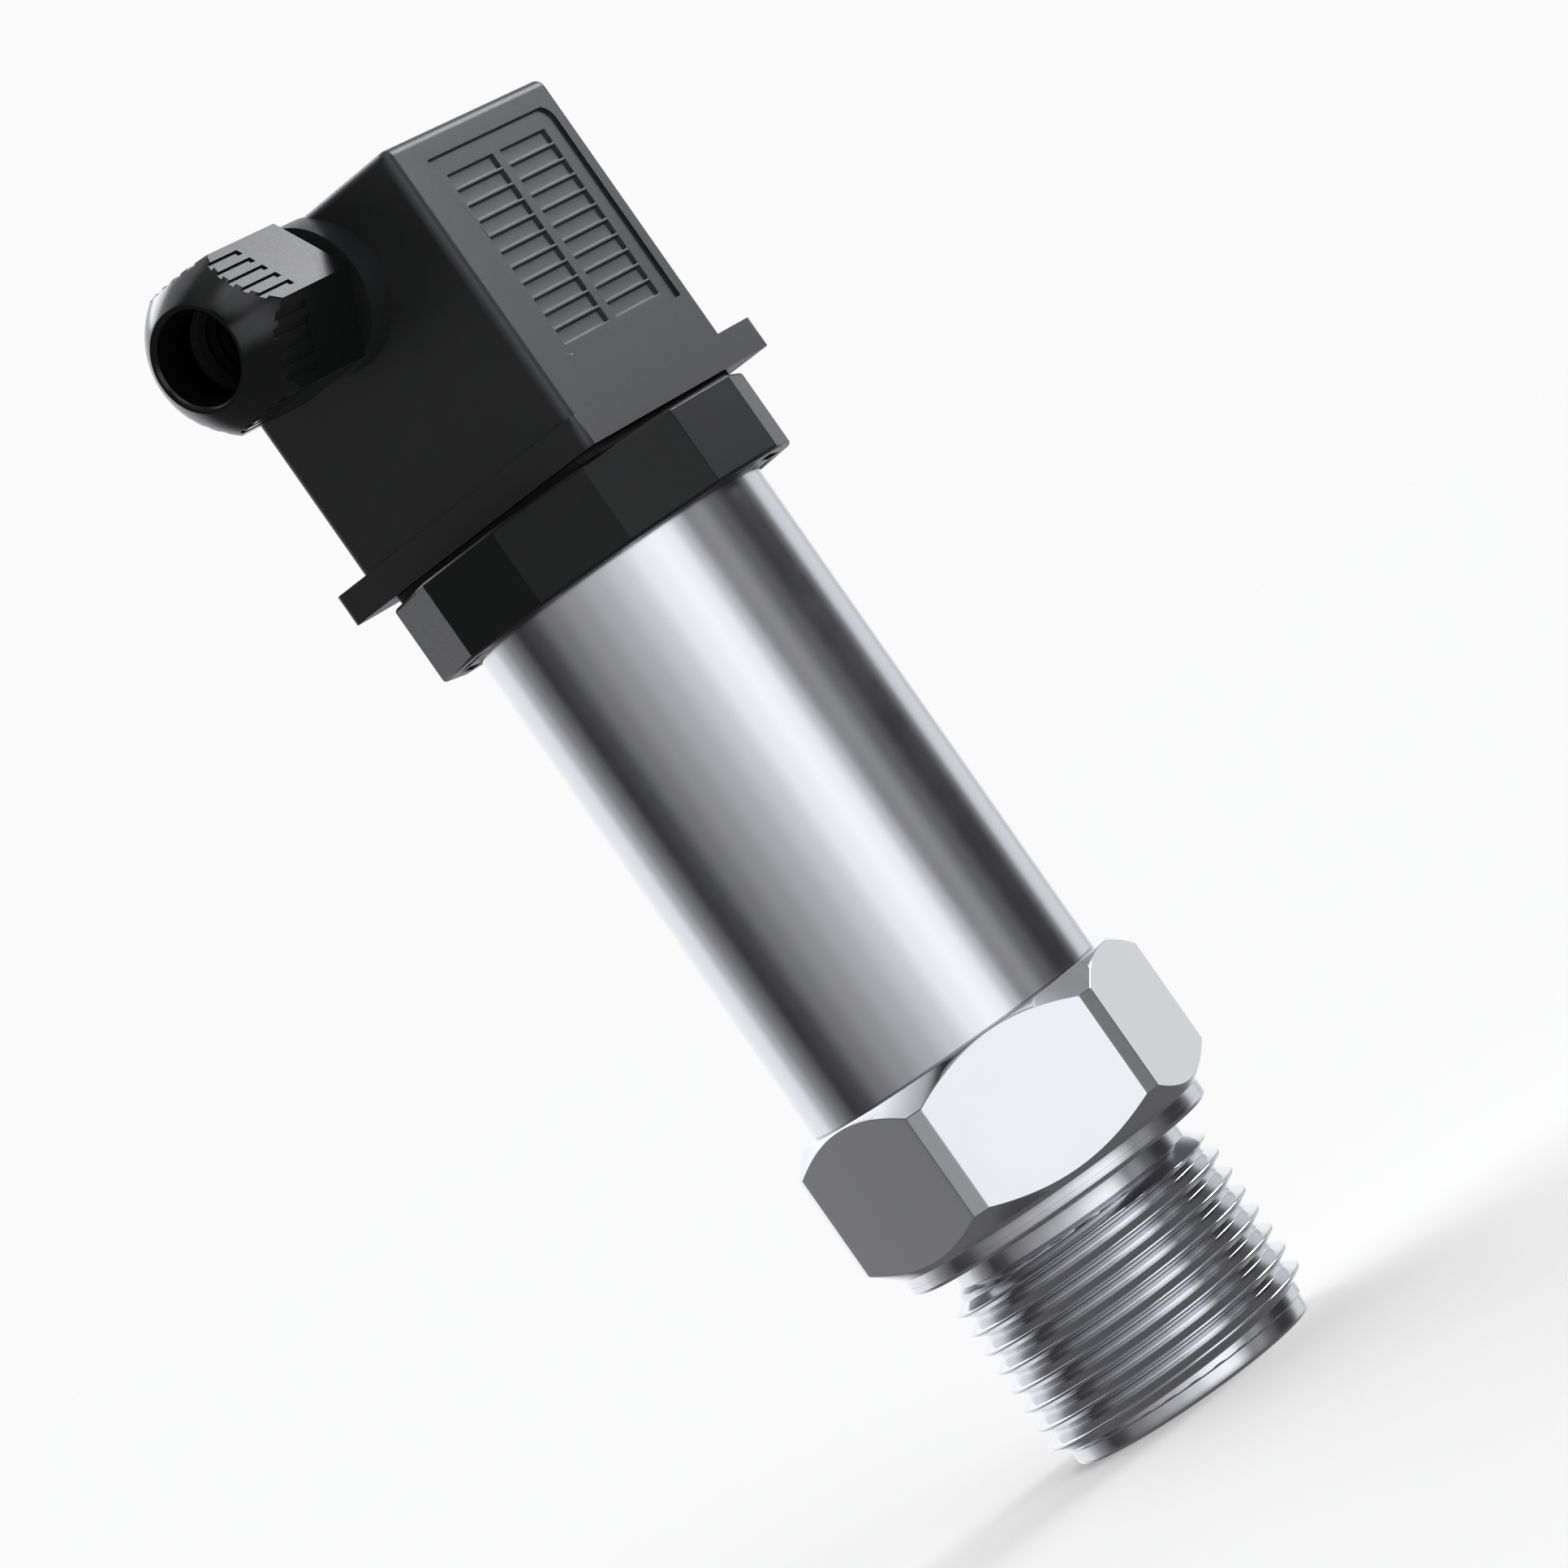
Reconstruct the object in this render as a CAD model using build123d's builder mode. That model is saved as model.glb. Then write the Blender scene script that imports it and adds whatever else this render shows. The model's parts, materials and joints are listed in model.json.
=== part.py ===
from build123d import *
import os
from math import cos, pi, radians, sin, tan

# Pressure transmitter with a square cable plug, in millimetres.
# The body stands upright. The origin is the centre of the nose's end face, +Z runs up the
# body, the cable outlet points to -X and the ribbed panel of the plug faces -Y.

os.makedirs("parts", exist_ok=True)

# Process connection: nose, thread and relief groove
port_radius = 2.5
port_mouth_chamfer = 0.5
nose_radius = 12.2
nose_edge = 0.5
nose_lip_height = 1.2
nose_neck = 0.6
thread_start = 1.8
thread_major_radius = 13.5
thread_pitch = 2.0
thread_turns = 8
relief_radius = 11.7
relief_height = 2.4
relief_edge = 0.3

# Process connection: sealing ring and hexagon
blank_margin = 1.0
ring_radius = 15.4
ring_height = 1.7
ring_edge = 0.4
hex_across_flats = 32.0
hex_corner_flat = 1.6
hex_height = 14.4
hex_turn = 45.0
hex_bottom_chamfer_angle = 40.0
hex_top_chamfer_angle = 45.0
hex_top_land = 1.2
spigot_height = 4.8

# Pressure chamber and sensor cell
chamber_radius = 8.0
chamber_height = 0.8
port_length = 20.2
cell_radius = 9.5
cell_height = 10.0
cell_base_height = 3.7
cell_groove_height = 2.4
diaphragm_radius = 9.0
diaphragm_thickness = 0.25
diaphragm_ridge_height = 0.15
diaphragm_ridge_outer_radius = 5.2
diaphragm_ridge_inner_radius = 4.0
seal_section = 1.8
seal_sides = 6
retaining_ring_height = 3.0
retaining_ring_inner_radius = 6.5
spanner_hole_radius = 0.9
cell_pin_size = 0.5
cell_pin_count = 5
cell_pin_spacing = 2.54
cell_pin_height = 9.0

# Amplifier board
board_edge_gap = 1.2
board_foot_width = 17.0
board_height = 36.0
board_thickness = 1.6
board_gap_above_cell = 5.5
board_ring_height = 2.0
board_ring_window_radius = 3.2
board_ring_window_offset = 6.5
upper_ring_drop = 5.0
lead_radius = 0.6
lead_bend_radius = 1.2
lead_spacing = 4.8

# Housing tube
tube_outer_radius = 14.7
tube_wall = 1.5
tube_length = 54.2

# Twelve-sided collar
collar_sides = 12
collar_wall = 2.12
collar_turn = 12.0
collar_below_tube_end = 3.5
collar_height = 7.7
collar_edge = 0.25
pocket_width = 6.4
pocket_thickness = 1.1
pocket_depth = 2.6
pocket_wall = 1.2

# Connector base with its blades
base_skirt_height = 10.5
base_groove_wall = 0.9
base_core_height = 10.2
base_flange_radius = 15.6
base_flange_height = 2.7
base_pad_radius = 14.3
insert_radius = 2.5
insert_length = 8.7
blade_circle_radius = 9.0
blade_width = 6.3
blade_thickness = 0.8
blade_reach = 9.5
blade_tail = 2.5
earth_blade_extra = 1.5

# Flat gasket
gasket_band = 2.5
gasket_thickness = 0.8
gasket_opening = 21.0
gasket_corner = 2.0
gasket_opening_corner = 4.0

# Plug housing
plug_width = 26.4
plug_depth = 27.7
plug_height = 30.35
plug_wall = 1.7
plug_ledge = 1.0
plug_roof = 2.0
plug_edge = 1.0
plug_top_edge = 0.9
plug_flange_height = 3.0
flange_lip = 0.3
flange_overhang_x = 4.8
flange_overhang_y = 3.5
flange_edge = 0.8
screw_boss_radius = 5.0
screw_recess_radius = 3.4
screw_recess_depth = 3.0

# Ribbed panel on the front of the plug
panel_left = 8.6
panel_right = 11.2
panel_bottom_above_gasket = 7.6
panel_height = 20.2
panel_corner = 1.4
panel_depth = 0.3
rib_rows = 11
rib_pitch = 1.6
rib_slot_height = 1.3
rib_slot_width = 7.4
rib_slot_depth = 0.3
rib_spine = 1.3
rib_bottom_margin = 1.75

# Terminal insert, contacts and screws inside the plug
terminal_height = 15.5
terminal_floor = 1.2
contact_width = 7.2
contact_thickness = 2.8
contact_height = 11.8
contact_slot_top = 2.8
terminal_screw_radius = 0.9
terminal_screw_length = 2.2
terminal_screw_head_radius = 1.35
terminal_screw_head_height = 1.2

# Fixing screw through the plug
screw_radius = 1.5
screw_engagement = 6.7
screw_head_radius = 2.9
screw_head_height = 2.0
screw_slot_width = 0.8
screw_slot_depth = 1.0
washer_radius = 3.2
washer_thickness = 0.5

# Cable gland
gland_below_roof = 6.4
boss_radius = 6.9
boss_length = 3.1
spigot_radius = 5.4
nut_gap = 1.9
nut_across_flats = 13.5
nut_hex_length = 10.1
nut_dome_length = 4.2
nut_rim_radius = 4.65
nut_dome_bulge = 0.35
entry_radius = 4.12
entry_length = 5.2
entry_chamfer = 0.25
serration_count = 5
serration_pitch = 1.25
serration_width = 0.6
serration_length = 2.2
serration_depth = 0.5
gland_seal_length = 6.1
gland_seal_wall = 0.95
gland_seal_ridges = 4
gland_seal_ridge_height = 0.35
gland_washer_thickness = 0.6
gland_bore_radius = 3.9

# Clearances between pieces that fit in each other
slip = 0.05
running = 0.06
blade_clearance = 0.1
seat_gap = 0.1

# Levels up the body, each from the one below
thread_end = thread_start + thread_turns * thread_pitch
ring_bottom = thread_end + relief_height
hex_bottom = ring_bottom + ring_height
hex_top = hex_bottom + hex_height
spigot_top = hex_top + spigot_height
tube_top = hex_top + tube_length
ledge_level = port_length + chamber_height
cell_bottom = ledge_level + diaphragm_thickness
cell_top = cell_bottom + cell_height
collar_bottom = tube_top - collar_below_tube_end
collar_top = collar_bottom + collar_height
base_bottom = tube_top - base_skirt_height
base_flange_top = tube_top + base_flange_height
plug_bottom = collar_top + gasket_thickness
plug_top = plug_bottom + plug_height
gland_level = plug_top - gland_below_roof
board_bottom = cell_top + board_gap_above_cell
board_top = board_bottom + board_height

# Radii and distances that follow from others
thread_depth = 0.6134 * thread_pitch
thread_root_radius = thread_major_radius - thread_depth
thread_crest = thread_pitch / 8
hex_apothem = hex_across_flats / 2
hex_corner_apothem = hex_apothem / cos(pi / 6) - hex_corner_flat / 2 / tan(pi / 3)
tube_inner_radius = tube_outer_radius - tube_wall
board_width = 2 * (tube_inner_radius - board_edge_gap)
cell_bore_radius = cell_radius + slip
boss_face = plug_width / 2 + boss_length
nut_back = boss_face + nut_gap
nut_shoulder = nut_back + nut_hex_length + nut_dome_length - entry_length
nut_tip = nut_back + nut_hex_length + nut_dome_length
nut_corner_radius = nut_across_flats / 2 / cos(pi / 6)
seal_outer_end = nut_shoulder - seat_gap - gland_washer_thickness
seal_bore_radius = gland_bore_radius + gland_seal_wall - slip
spigot_end = seal_outer_end - gland_washer_thickness


# The turned connection that screws into the process, with its hexagon
turned_outline = [
    (0, 0),
    (nose_radius - nose_edge, 0),
    (nose_radius, nose_edge),
    (nose_radius, nose_lip_height),
    (nose_radius - nose_neck, thread_start),
]
for turn in range(thread_turns):
    crest_level = thread_start + (turn + 0.5) * thread_pitch
    turned_outline += [
        (thread_root_radius, crest_level - thread_pitch / 2),
        (thread_major_radius, crest_level - thread_crest / 2),
        (thread_major_radius, crest_level + thread_crest / 2),
    ]
turned_outline += [
    (thread_root_radius, thread_end),
    (relief_radius, thread_end + relief_edge),
    (relief_radius, ring_bottom),
    (ring_radius - ring_edge, ring_bottom),
    (ring_radius, ring_bottom + ring_edge),
    (ring_radius, hex_bottom),
    (0, hex_bottom),
]

# The blank that the hexagon is milled from has a cone at each end
blank_radius = hex_corner_apothem + blank_margin
top_cone_radius = tube_outer_radius + hex_top_land
bottom_cone_rise = (blank_radius - ring_radius) * tan(radians(hex_bottom_chamfer_angle))
top_cone_drop = (blank_radius - top_cone_radius) * tan(radians(hex_top_chamfer_angle))

with BuildPart() as process_connection:
    with BuildSketch(Plane.XY.offset(hex_bottom)):
        RegularPolygon(hex_apothem, 6, major_radius=False, rotation=hex_turn - 30)
        RegularPolygon(
            hex_corner_apothem, 6, major_radius=False, rotation=hex_turn, mode=Mode.INTERSECT
        )
    extrude(amount=hex_height)
    with BuildSketch(Plane.XZ):
        with BuildLine():
            Polyline(
                (0, hex_bottom),
                (ring_radius, hex_bottom),
                (blank_radius, hex_bottom + bottom_cone_rise),
                (blank_radius, hex_top - top_cone_drop),
                (top_cone_radius, hex_top),
                (0, hex_top),
                close=True,
            )
        make_face()
    revolve(axis=Axis.Z, mode=Mode.INTERSECT)
    with BuildSketch(Plane.XZ):
        with BuildLine():
            Polyline(*turned_outline, close=True)
        make_face()
    revolve(axis=Axis.Z)
    with BuildSketch(Plane.XY.offset(hex_top)):
        Circle(tube_inner_radius - slip)
    extrude(amount=spigot_height)
    with BuildSketch(Plane.XZ):
        with BuildLine():
            Polyline(
                (0, 0),
                (port_radius + port_mouth_chamfer, 0),
                (port_radius, port_mouth_chamfer),
                (port_radius, port_length),
                (chamber_radius, port_length),
                (chamber_radius, ledge_level),
                (cell_bore_radius, ledge_level),
                (cell_bore_radius, spigot_top),
                (0, spigot_top),
                close=True,
            )
        make_face()
    revolve(axis=Axis.Z, mode=Mode.SUBTRACT)
process_connection.part.label = "process_connection"
export_step(process_connection.part, "parts/process_connection.step")


# The thin isolating diaphragm, with one round ridge
with BuildPart() as diaphragm:
    with BuildSketch(Plane.XY.offset(ledge_level)):
        Circle(diaphragm_radius)
    extrude(amount=diaphragm_thickness)
    with BuildSketch(Plane.XY.offset(ledge_level)):
        Circle(diaphragm_ridge_outer_radius)
        Circle(diaphragm_ridge_inner_radius, mode=Mode.SUBTRACT)
    extrude(amount=-diaphragm_ridge_height)
diaphragm.part.label = "diaphragm"
export_step(diaphragm.part, "parts/diaphragm.step")


# The sensor cell, with a groove for its seal
seal_groove_radius = cell_bore_radius - seal_section
seal_level = cell_bottom + cell_base_height + cell_groove_height / 2
with BuildPart() as sensor_cell:
    with BuildSketch(Plane.XY.offset(cell_bottom)):
        Circle(cell_radius)
    extrude(amount=cell_height)
    with BuildSketch(Plane.XY.offset(cell_bottom + cell_base_height)):
        Circle(cell_radius)
        Circle(seal_groove_radius, mode=Mode.SUBTRACT)
    extrude(amount=cell_groove_height, mode=Mode.SUBTRACT)
sensor_cell.part.label = "sensor_cell"
export_step(sensor_cell.part, "parts/sensor_cell.step")

with BuildPart() as cell_seal:
    with BuildSketch(Plane.XZ):
        with Locations((cell_bore_radius - seal_section / 2, seal_level)):
            RegularPolygon(seal_section / 2, seal_sides, major_radius=False, rotation=30)
    revolve(axis=Axis.Z)
cell_seal.part.label = "cell_seal"
export_step(cell_seal.part, "parts/cell_seal.step")


# The ring that holds the cell down, with two holes for a pin spanner
with BuildPart() as retaining_ring:
    with BuildSketch(Plane.XY.offset(cell_top)):
        Circle(cell_radius)
        Circle(retaining_ring_inner_radius, mode=Mode.SUBTRACT)
        with PolarLocations((cell_radius + retaining_ring_inner_radius) / 2, 2):
            Circle(spanner_hole_radius, mode=Mode.SUBTRACT)
    extrude(amount=retaining_ring_height)
retaining_ring.part.label = "retaining_ring"
export_step(retaining_ring.part, "parts/retaining_ring.step")


# The pins of the cell lie against the face of the amplifier board
pin_offset = (board_thickness + cell_pin_size) / 2
with BuildPart() as cell_pins:
    with BuildSketch(Plane.XY.offset(cell_top)):
        with Locations((0, -pin_offset)):
            with GridLocations(cell_pin_spacing, 1, cell_pin_count, 1):
                Rectangle(cell_pin_size, cell_pin_size)
    extrude(amount=cell_pin_height)
cell_pins.part.label = "cell_pins"
export_step(cell_pins.part, "parts/cell_pins.step")

with BuildPart() as amplifier_board:
    with BuildSketch(Plane.XY.offset(board_bottom)):
        Rectangle(board_foot_width, board_thickness)
    extrude(amount=spigot_top + board_ring_height - board_bottom)
    with BuildSketch(Plane.XY.offset(spigot_top + board_ring_height)):
        Rectangle(board_width, board_thickness)
    extrude(amount=board_top - spigot_top - board_ring_height)
amplifier_board.part.label = "amplifier_board"
export_step(amplifier_board.part, "parts/amplifier_board.step")

# Chips, capacitors and trimmers: place along the board, height, width, length, thickness
front_parts = [(-5.0, 12.0, 7.0, 7.0, 1.2), (5.5, 11.0, 5.0, 4.0, 1.6), (0.5, 21.0, 9.0, 5.0, 2.0)]
back_parts = [(-5.5, 10.0, 4.5, 6.5, 3.2), (4.0, 13.0, 8.0, 8.0, 1.4), (-4.0, 22.0, 5.0, 4.0, 2.4)]
with BuildPart() as board_parts:
    for along, height, width, length, thickness in front_parts:
        with BuildSketch(Plane.XZ.offset(board_thickness / 2)):
            with Locations((along, board_bottom + height)):
                Rectangle(width, length)
        extrude(amount=thickness)
    for along, height, width, length, thickness in back_parts:
        with BuildSketch(Plane.XZ.offset(-board_thickness / 2)):
            with Locations((along, board_bottom + height)):
                Rectangle(width, length)
        extrude(amount=-thickness)
board_parts.part.label = "board_parts"
export_step(board_parts.part, "parts/board_parts.step")

# Two plastic rings hold the board upright in the tube
upper_ring_level = board_top - upper_ring_drop
with BuildPart() as lower_board_ring:
    with BuildSketch(Plane.XY.offset(spigot_top)):
        Circle(tube_inner_radius - slip)
        Rectangle(board_foot_width + 2 * slip, board_thickness + 2 * slip, mode=Mode.SUBTRACT)
        with Locations((0, board_ring_window_offset), (0, -board_ring_window_offset)):
            Circle(board_ring_window_radius, mode=Mode.SUBTRACT)
    extrude(amount=board_ring_height)
lower_board_ring.part.label = "lower_board_ring"
export_step(lower_board_ring.part, "parts/lower_board_ring.step")

with BuildPart() as upper_board_ring:
    with BuildSketch(Plane.XY.offset(upper_ring_level)):
        Circle(tube_inner_radius - slip)
        Rectangle(board_width + 2 * slip, board_thickness + 2 * slip, mode=Mode.SUBTRACT)
        with Locations((0, board_ring_window_offset), (0, -board_ring_window_offset)):
            Circle(board_ring_window_radius, mode=Mode.SUBTRACT)
    extrude(amount=board_ring_height)
upper_board_ring.part.label = "upper_board_ring"
export_step(upper_board_ring.part, "parts/upper_board_ring.step")


# The tube that is welded on top of the hexagon
with BuildPart() as housing_tube:
    with BuildSketch(Plane.XY.offset(hex_top)):
        Circle(tube_outer_radius)
        Circle(tube_inner_radius, mode=Mode.SUBTRACT)
    extrude(amount=tube_length)
housing_tube.part.label = "housing_tube"
export_step(housing_tube.part, "parts/housing_tube.step")


# The moulded collar, hollowed from below with one pocket behind each side
collar_apothem = base_flange_radius + slip + collar_wall
collar_corner_radius = collar_apothem / cos(pi / collar_sides)
pocket_radius = collar_apothem - pocket_wall - pocket_thickness / 2
with BuildPart() as collar:
    with BuildSketch(Plane.XY.offset(collar_bottom)):
        RegularPolygon(collar_corner_radius, collar_sides, rotation=collar_turn)
    extrude(amount=collar_height)
    rim_edges = collar.edges().filter_by(GeomType.LINE).filter_by(Axis.Z, reverse=True)
    chamfer(rim_edges, collar_edge)
    with BuildSketch(Plane.XZ):
        with BuildLine():
            Polyline(
                (0, collar_bottom),
                (tube_outer_radius + slip, collar_bottom),
                (tube_outer_radius + slip, tube_top),
                (base_flange_radius + slip, tube_top),
                (base_flange_radius + slip, base_flange_top),
                (base_pad_radius + slip, base_flange_top),
                (base_pad_radius + slip, collar_top),
                (0, collar_top),
                close=True,
            )
        make_face()
    revolve(axis=Axis.Z, mode=Mode.SUBTRACT)
    with BuildSketch(Plane.XY.offset(collar_bottom)):
        with PolarLocations(pocket_radius, collar_sides, collar_turn + 180 / collar_sides):
            Rectangle(pocket_thickness, pocket_width)
    extrude(amount=pocket_depth, mode=Mode.SUBTRACT)
collar.part.label = "collar"
export_step(collar.part, "parts/collar.step")


# The connector base: a skirt in the tube, a flange on its end and a pad under the plug
base_groove_radius = tube_inner_radius - seal_section
base_hollow_radius = base_groove_radius - base_groove_wall
base_hollow_top = collar_top - base_core_height
base_seal_level = base_bottom + base_skirt_height / 2
blade_angles = [180, 270, 0]
earth_angle = 90
with BuildPart() as connector_base:
    with BuildSketch(Plane.XY.offset(base_bottom)):
        Circle(tube_inner_radius - slip)
    extrude(amount=base_skirt_height)
    with BuildSketch(Plane.XY.offset(tube_top)):
        Circle(base_flange_radius)
    extrude(amount=base_flange_height)
    with BuildSketch(Plane.XY.offset(base_flange_top)):
        Circle(base_pad_radius)
    extrude(amount=collar_top - base_flange_top)
    with BuildSketch(Plane.XY.offset(base_seal_level - cell_groove_height / 2)):
        Circle(tube_inner_radius)
        Circle(base_groove_radius, mode=Mode.SUBTRACT)
    extrude(amount=cell_groove_height, mode=Mode.SUBTRACT)
    with BuildSketch(Plane.XY.offset(base_bottom)):
        Circle(base_hollow_radius)
    extrude(amount=base_hollow_top - base_bottom, mode=Mode.SUBTRACT)
    with BuildSketch(Plane.XY.offset(base_bottom)):
        with PolarLocations(blade_circle_radius, 4):
            Rectangle(blade_thickness + 2 * slip, blade_width + 2 * slip)
    extrude(amount=collar_top - base_bottom, mode=Mode.SUBTRACT)
    with BuildSketch(Plane.XY.offset(collar_top)):
        Circle(insert_radius + slip)
    extrude(amount=-insert_length, mode=Mode.SUBTRACT)
connector_base.part.label = "connector_base"
export_step(connector_base.part, "parts/connector_base.step")

with BuildPart() as base_seal:
    with BuildSketch(Plane.XZ):
        with Locations((tube_inner_radius - seal_section / 2, base_seal_level)):
            RegularPolygon(seal_section / 2, seal_sides, major_radius=False, rotation=30)
    revolve(axis=Axis.Z)
base_seal.part.label = "base_seal"
export_step(base_seal.part, "parts/base_seal.step")

with BuildPart() as threaded_insert:
    with BuildSketch(Plane.XY.offset(collar_top)):
        Circle(insert_radius)
        Circle(screw_radius + running, mode=Mode.SUBTRACT)
    extrude(amount=-insert_length)
threaded_insert.part.label = "threaded_insert"
export_step(threaded_insert.part, "parts/threaded_insert.step")


# Flat blades: tails below the base for the leads, tips above it for the plug
blade_bottom = base_hollow_top - blade_tail
blade_top = collar_top + blade_reach
with BuildPart() as contact_blades:
    for angle in blade_angles:
        with BuildSketch(Plane.XY.offset(blade_bottom)):
            with PolarLocations(blade_circle_radius, 1, angle):
                Rectangle(blade_thickness, blade_width)
        extrude(amount=blade_top - blade_bottom)
    tip_edges = contact_blades.edges().group_by(Axis.Z)[-1]
    chamfer(tip_edges, blade_thickness / 4)
contact_blades.part.label = "contact_blades"
export_step(contact_blades.part, "parts/contact_blades.step")

with BuildPart() as earth_blade:
    with BuildSketch(Plane.XY.offset(blade_bottom)):
        with PolarLocations(blade_circle_radius, 1, earth_angle):
            Rectangle(blade_thickness, blade_width)
    extrude(amount=blade_top + earth_blade_extra - blade_bottom)
    chamfer(earth_blade.edges().group_by(Axis.Z)[-1], blade_thickness / 4)
earth_blade.part.label = "earth_blade"
export_step(earth_blade.part, "parts/earth_blade.step")


# Leads from the top of the board to the tails of the three contact blades
lead_start = board_top - upper_ring_drop / 2
lead_turn_level = (board_top + blade_bottom) / 2
with BuildPart() as inner_leads:
    for angle in blade_angles:
        tail_radius = blade_circle_radius - blade_thickness / 2 - lead_radius
        tail_x = tail_radius * cos(radians(angle))
        tail_y = tail_radius * sin(radians(angle))
        start_x = lead_spacing * cos(radians(angle))
        start_y = -board_thickness / 2 - lead_radius
        with BuildLine():
            FilletPolyline(
                (start_x, start_y, lead_start),
                (start_x, start_y, board_top),
                (tail_x, tail_y, lead_turn_level),
                (tail_x, tail_y, base_hollow_top - seat_gap),
                radius=lead_bend_radius,
            )
        with BuildSketch(Plane.XY.offset(lead_start)):
            with Locations((start_x, start_y)):
                RegularPolygon(lead_radius, seal_sides)
        sweep()
inner_leads.part.label = "inner_leads"
export_step(inner_leads.part, "parts/inner_leads.step")


# The flat gasket between base and plug
gasket_size = gasket_opening + 2 * gasket_band
with BuildPart() as flat_gasket:
    with BuildSketch(Plane.XY.offset(collar_top)):
        RectangleRounded(gasket_size, gasket_size, gasket_corner)
        RectangleRounded(
            gasket_opening, gasket_opening, gasket_opening_corner, mode=Mode.SUBTRACT
        )
    extrude(amount=gasket_thickness)
flat_gasket.part.label = "flat_gasket"
export_step(flat_gasket.part, "parts/flat_gasket.step")


# The moulded plug housing: a square box on a flange that overhangs on two sides
cavity_width = plug_width - 2 * plug_wall
cavity_depth = plug_depth - 2 * plug_wall
terminal_top = plug_bottom + terminal_height
roof_level = plug_top - plug_roof
flange_width = plug_width + flange_lip + flange_overhang_x
flange_depth = plug_depth + flange_lip + flange_overhang_y
flange_centre_x = (flange_overhang_x - flange_lip) / 2
flange_centre_y = (flange_overhang_y - flange_lip) / 2
recess_floor = plug_top - screw_recess_depth
panel_width = panel_left + panel_right
panel_centre_x = (panel_right - panel_left) / 2
panel_bottom = plug_bottom + panel_bottom_above_gasket
panel_centre_z = panel_bottom + panel_height / 2
rib_centre_x = panel_centre_x - rib_spine / 4
rib_centre_z = panel_bottom + rib_bottom_margin + (rib_rows - 1) * rib_pitch / 2
gland_plane = Plane(origin=(0, 0, gland_level), x_dir=(0, 1, 0), z_dir=(-1, 0, 0))
front_plane = Plane(origin=(0, -plug_depth / 2, 0), x_dir=(1, 0, 0), z_dir=(0, -1, 0))
panel_plane = front_plane.offset(-panel_depth)

with BuildPart() as plug_housing:
    with BuildSketch(Plane.XY.offset(plug_bottom)):
        Rectangle(plug_width, plug_depth)
    extrude(amount=plug_height)
    fillet(plug_housing.edges().filter_by(Axis.Z), plug_edge)
    fillet(plug_housing.faces().sort_by(Axis.Z)[-1].edges(), plug_top_edge)
    with BuildSketch(Plane.XY.offset(plug_bottom)):
        with Locations((flange_centre_x, flange_centre_y)):
            RectangleRounded(flange_width, flange_depth, flange_edge)
    extrude(amount=plug_flange_height)
    with BuildSketch(gland_plane.offset(plug_width / 2 - plug_edge)):
        Circle(boss_radius)
    extrude(amount=boss_length + plug_edge)
    with BuildSketch(gland_plane.offset(boss_face)):
        Circle(spigot_radius)
    extrude(amount=spigot_end - boss_face)
    with BuildSketch(Plane.XY.offset(plug_bottom)):
        Rectangle(cavity_width, cavity_depth)
    extrude(amount=terminal_height, mode=Mode.SUBTRACT)
    with BuildSketch(Plane.XY.offset(terminal_top)):
        Rectangle(cavity_width - 2 * plug_ledge, cavity_depth - 2 * plug_ledge)
    extrude(amount=roof_level - terminal_top, mode=Mode.SUBTRACT)
    with BuildSketch(Plane.XY.offset(recess_floor - plug_roof)):
        Circle(screw_boss_radius)
    extrude(amount=roof_level + plug_roof / 2 - recess_floor + plug_roof)
    with BuildSketch(Plane.XY.offset(plug_top)):
        Circle(screw_recess_radius)
    extrude(amount=-screw_recess_depth, mode=Mode.SUBTRACT)
    with BuildSketch(Plane.XY.offset(plug_top)):
        Circle(screw_radius + blade_clearance)
    extrude(amount=-screw_recess_depth - 2 * plug_roof, mode=Mode.SUBTRACT)
    with BuildSketch(gland_plane.offset(cavity_width / 2 - 2 * plug_ledge)):
        Circle(gland_bore_radius)
    extrude(amount=spigot_end - cavity_width / 2 + 2 * plug_ledge, mode=Mode.SUBTRACT)
    with BuildSketch(gland_plane.offset(spigot_end)):
        Circle(gland_bore_radius + gland_seal_wall)
    extrude(amount=-(gland_seal_length - gland_washer_thickness), mode=Mode.SUBTRACT)
    with BuildSketch(front_plane) as panel_outline:
        with Locations((panel_centre_x, panel_centre_z)):
            Rectangle(panel_width, panel_height)
        round_corners = panel_outline.vertices().sort_by(Axis((0, 0, 0), (1, 1, 0)))
        fillet([round_corners[0], round_corners[-1]], panel_corner)
    extrude(amount=-panel_depth, mode=Mode.SUBTRACT)
    with BuildSketch(panel_plane):
        with Locations((rib_centre_x, rib_centre_z)):
            with GridLocations(rib_slot_width + rib_spine, rib_pitch, 2, rib_rows):
                Rectangle(rib_slot_width, rib_slot_height)
    extrude(amount=-rib_slot_depth, mode=Mode.SUBTRACT)
plug_housing.part.label = "plug_housing"
export_step(plug_housing.part, "parts/plug_housing.step")


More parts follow.
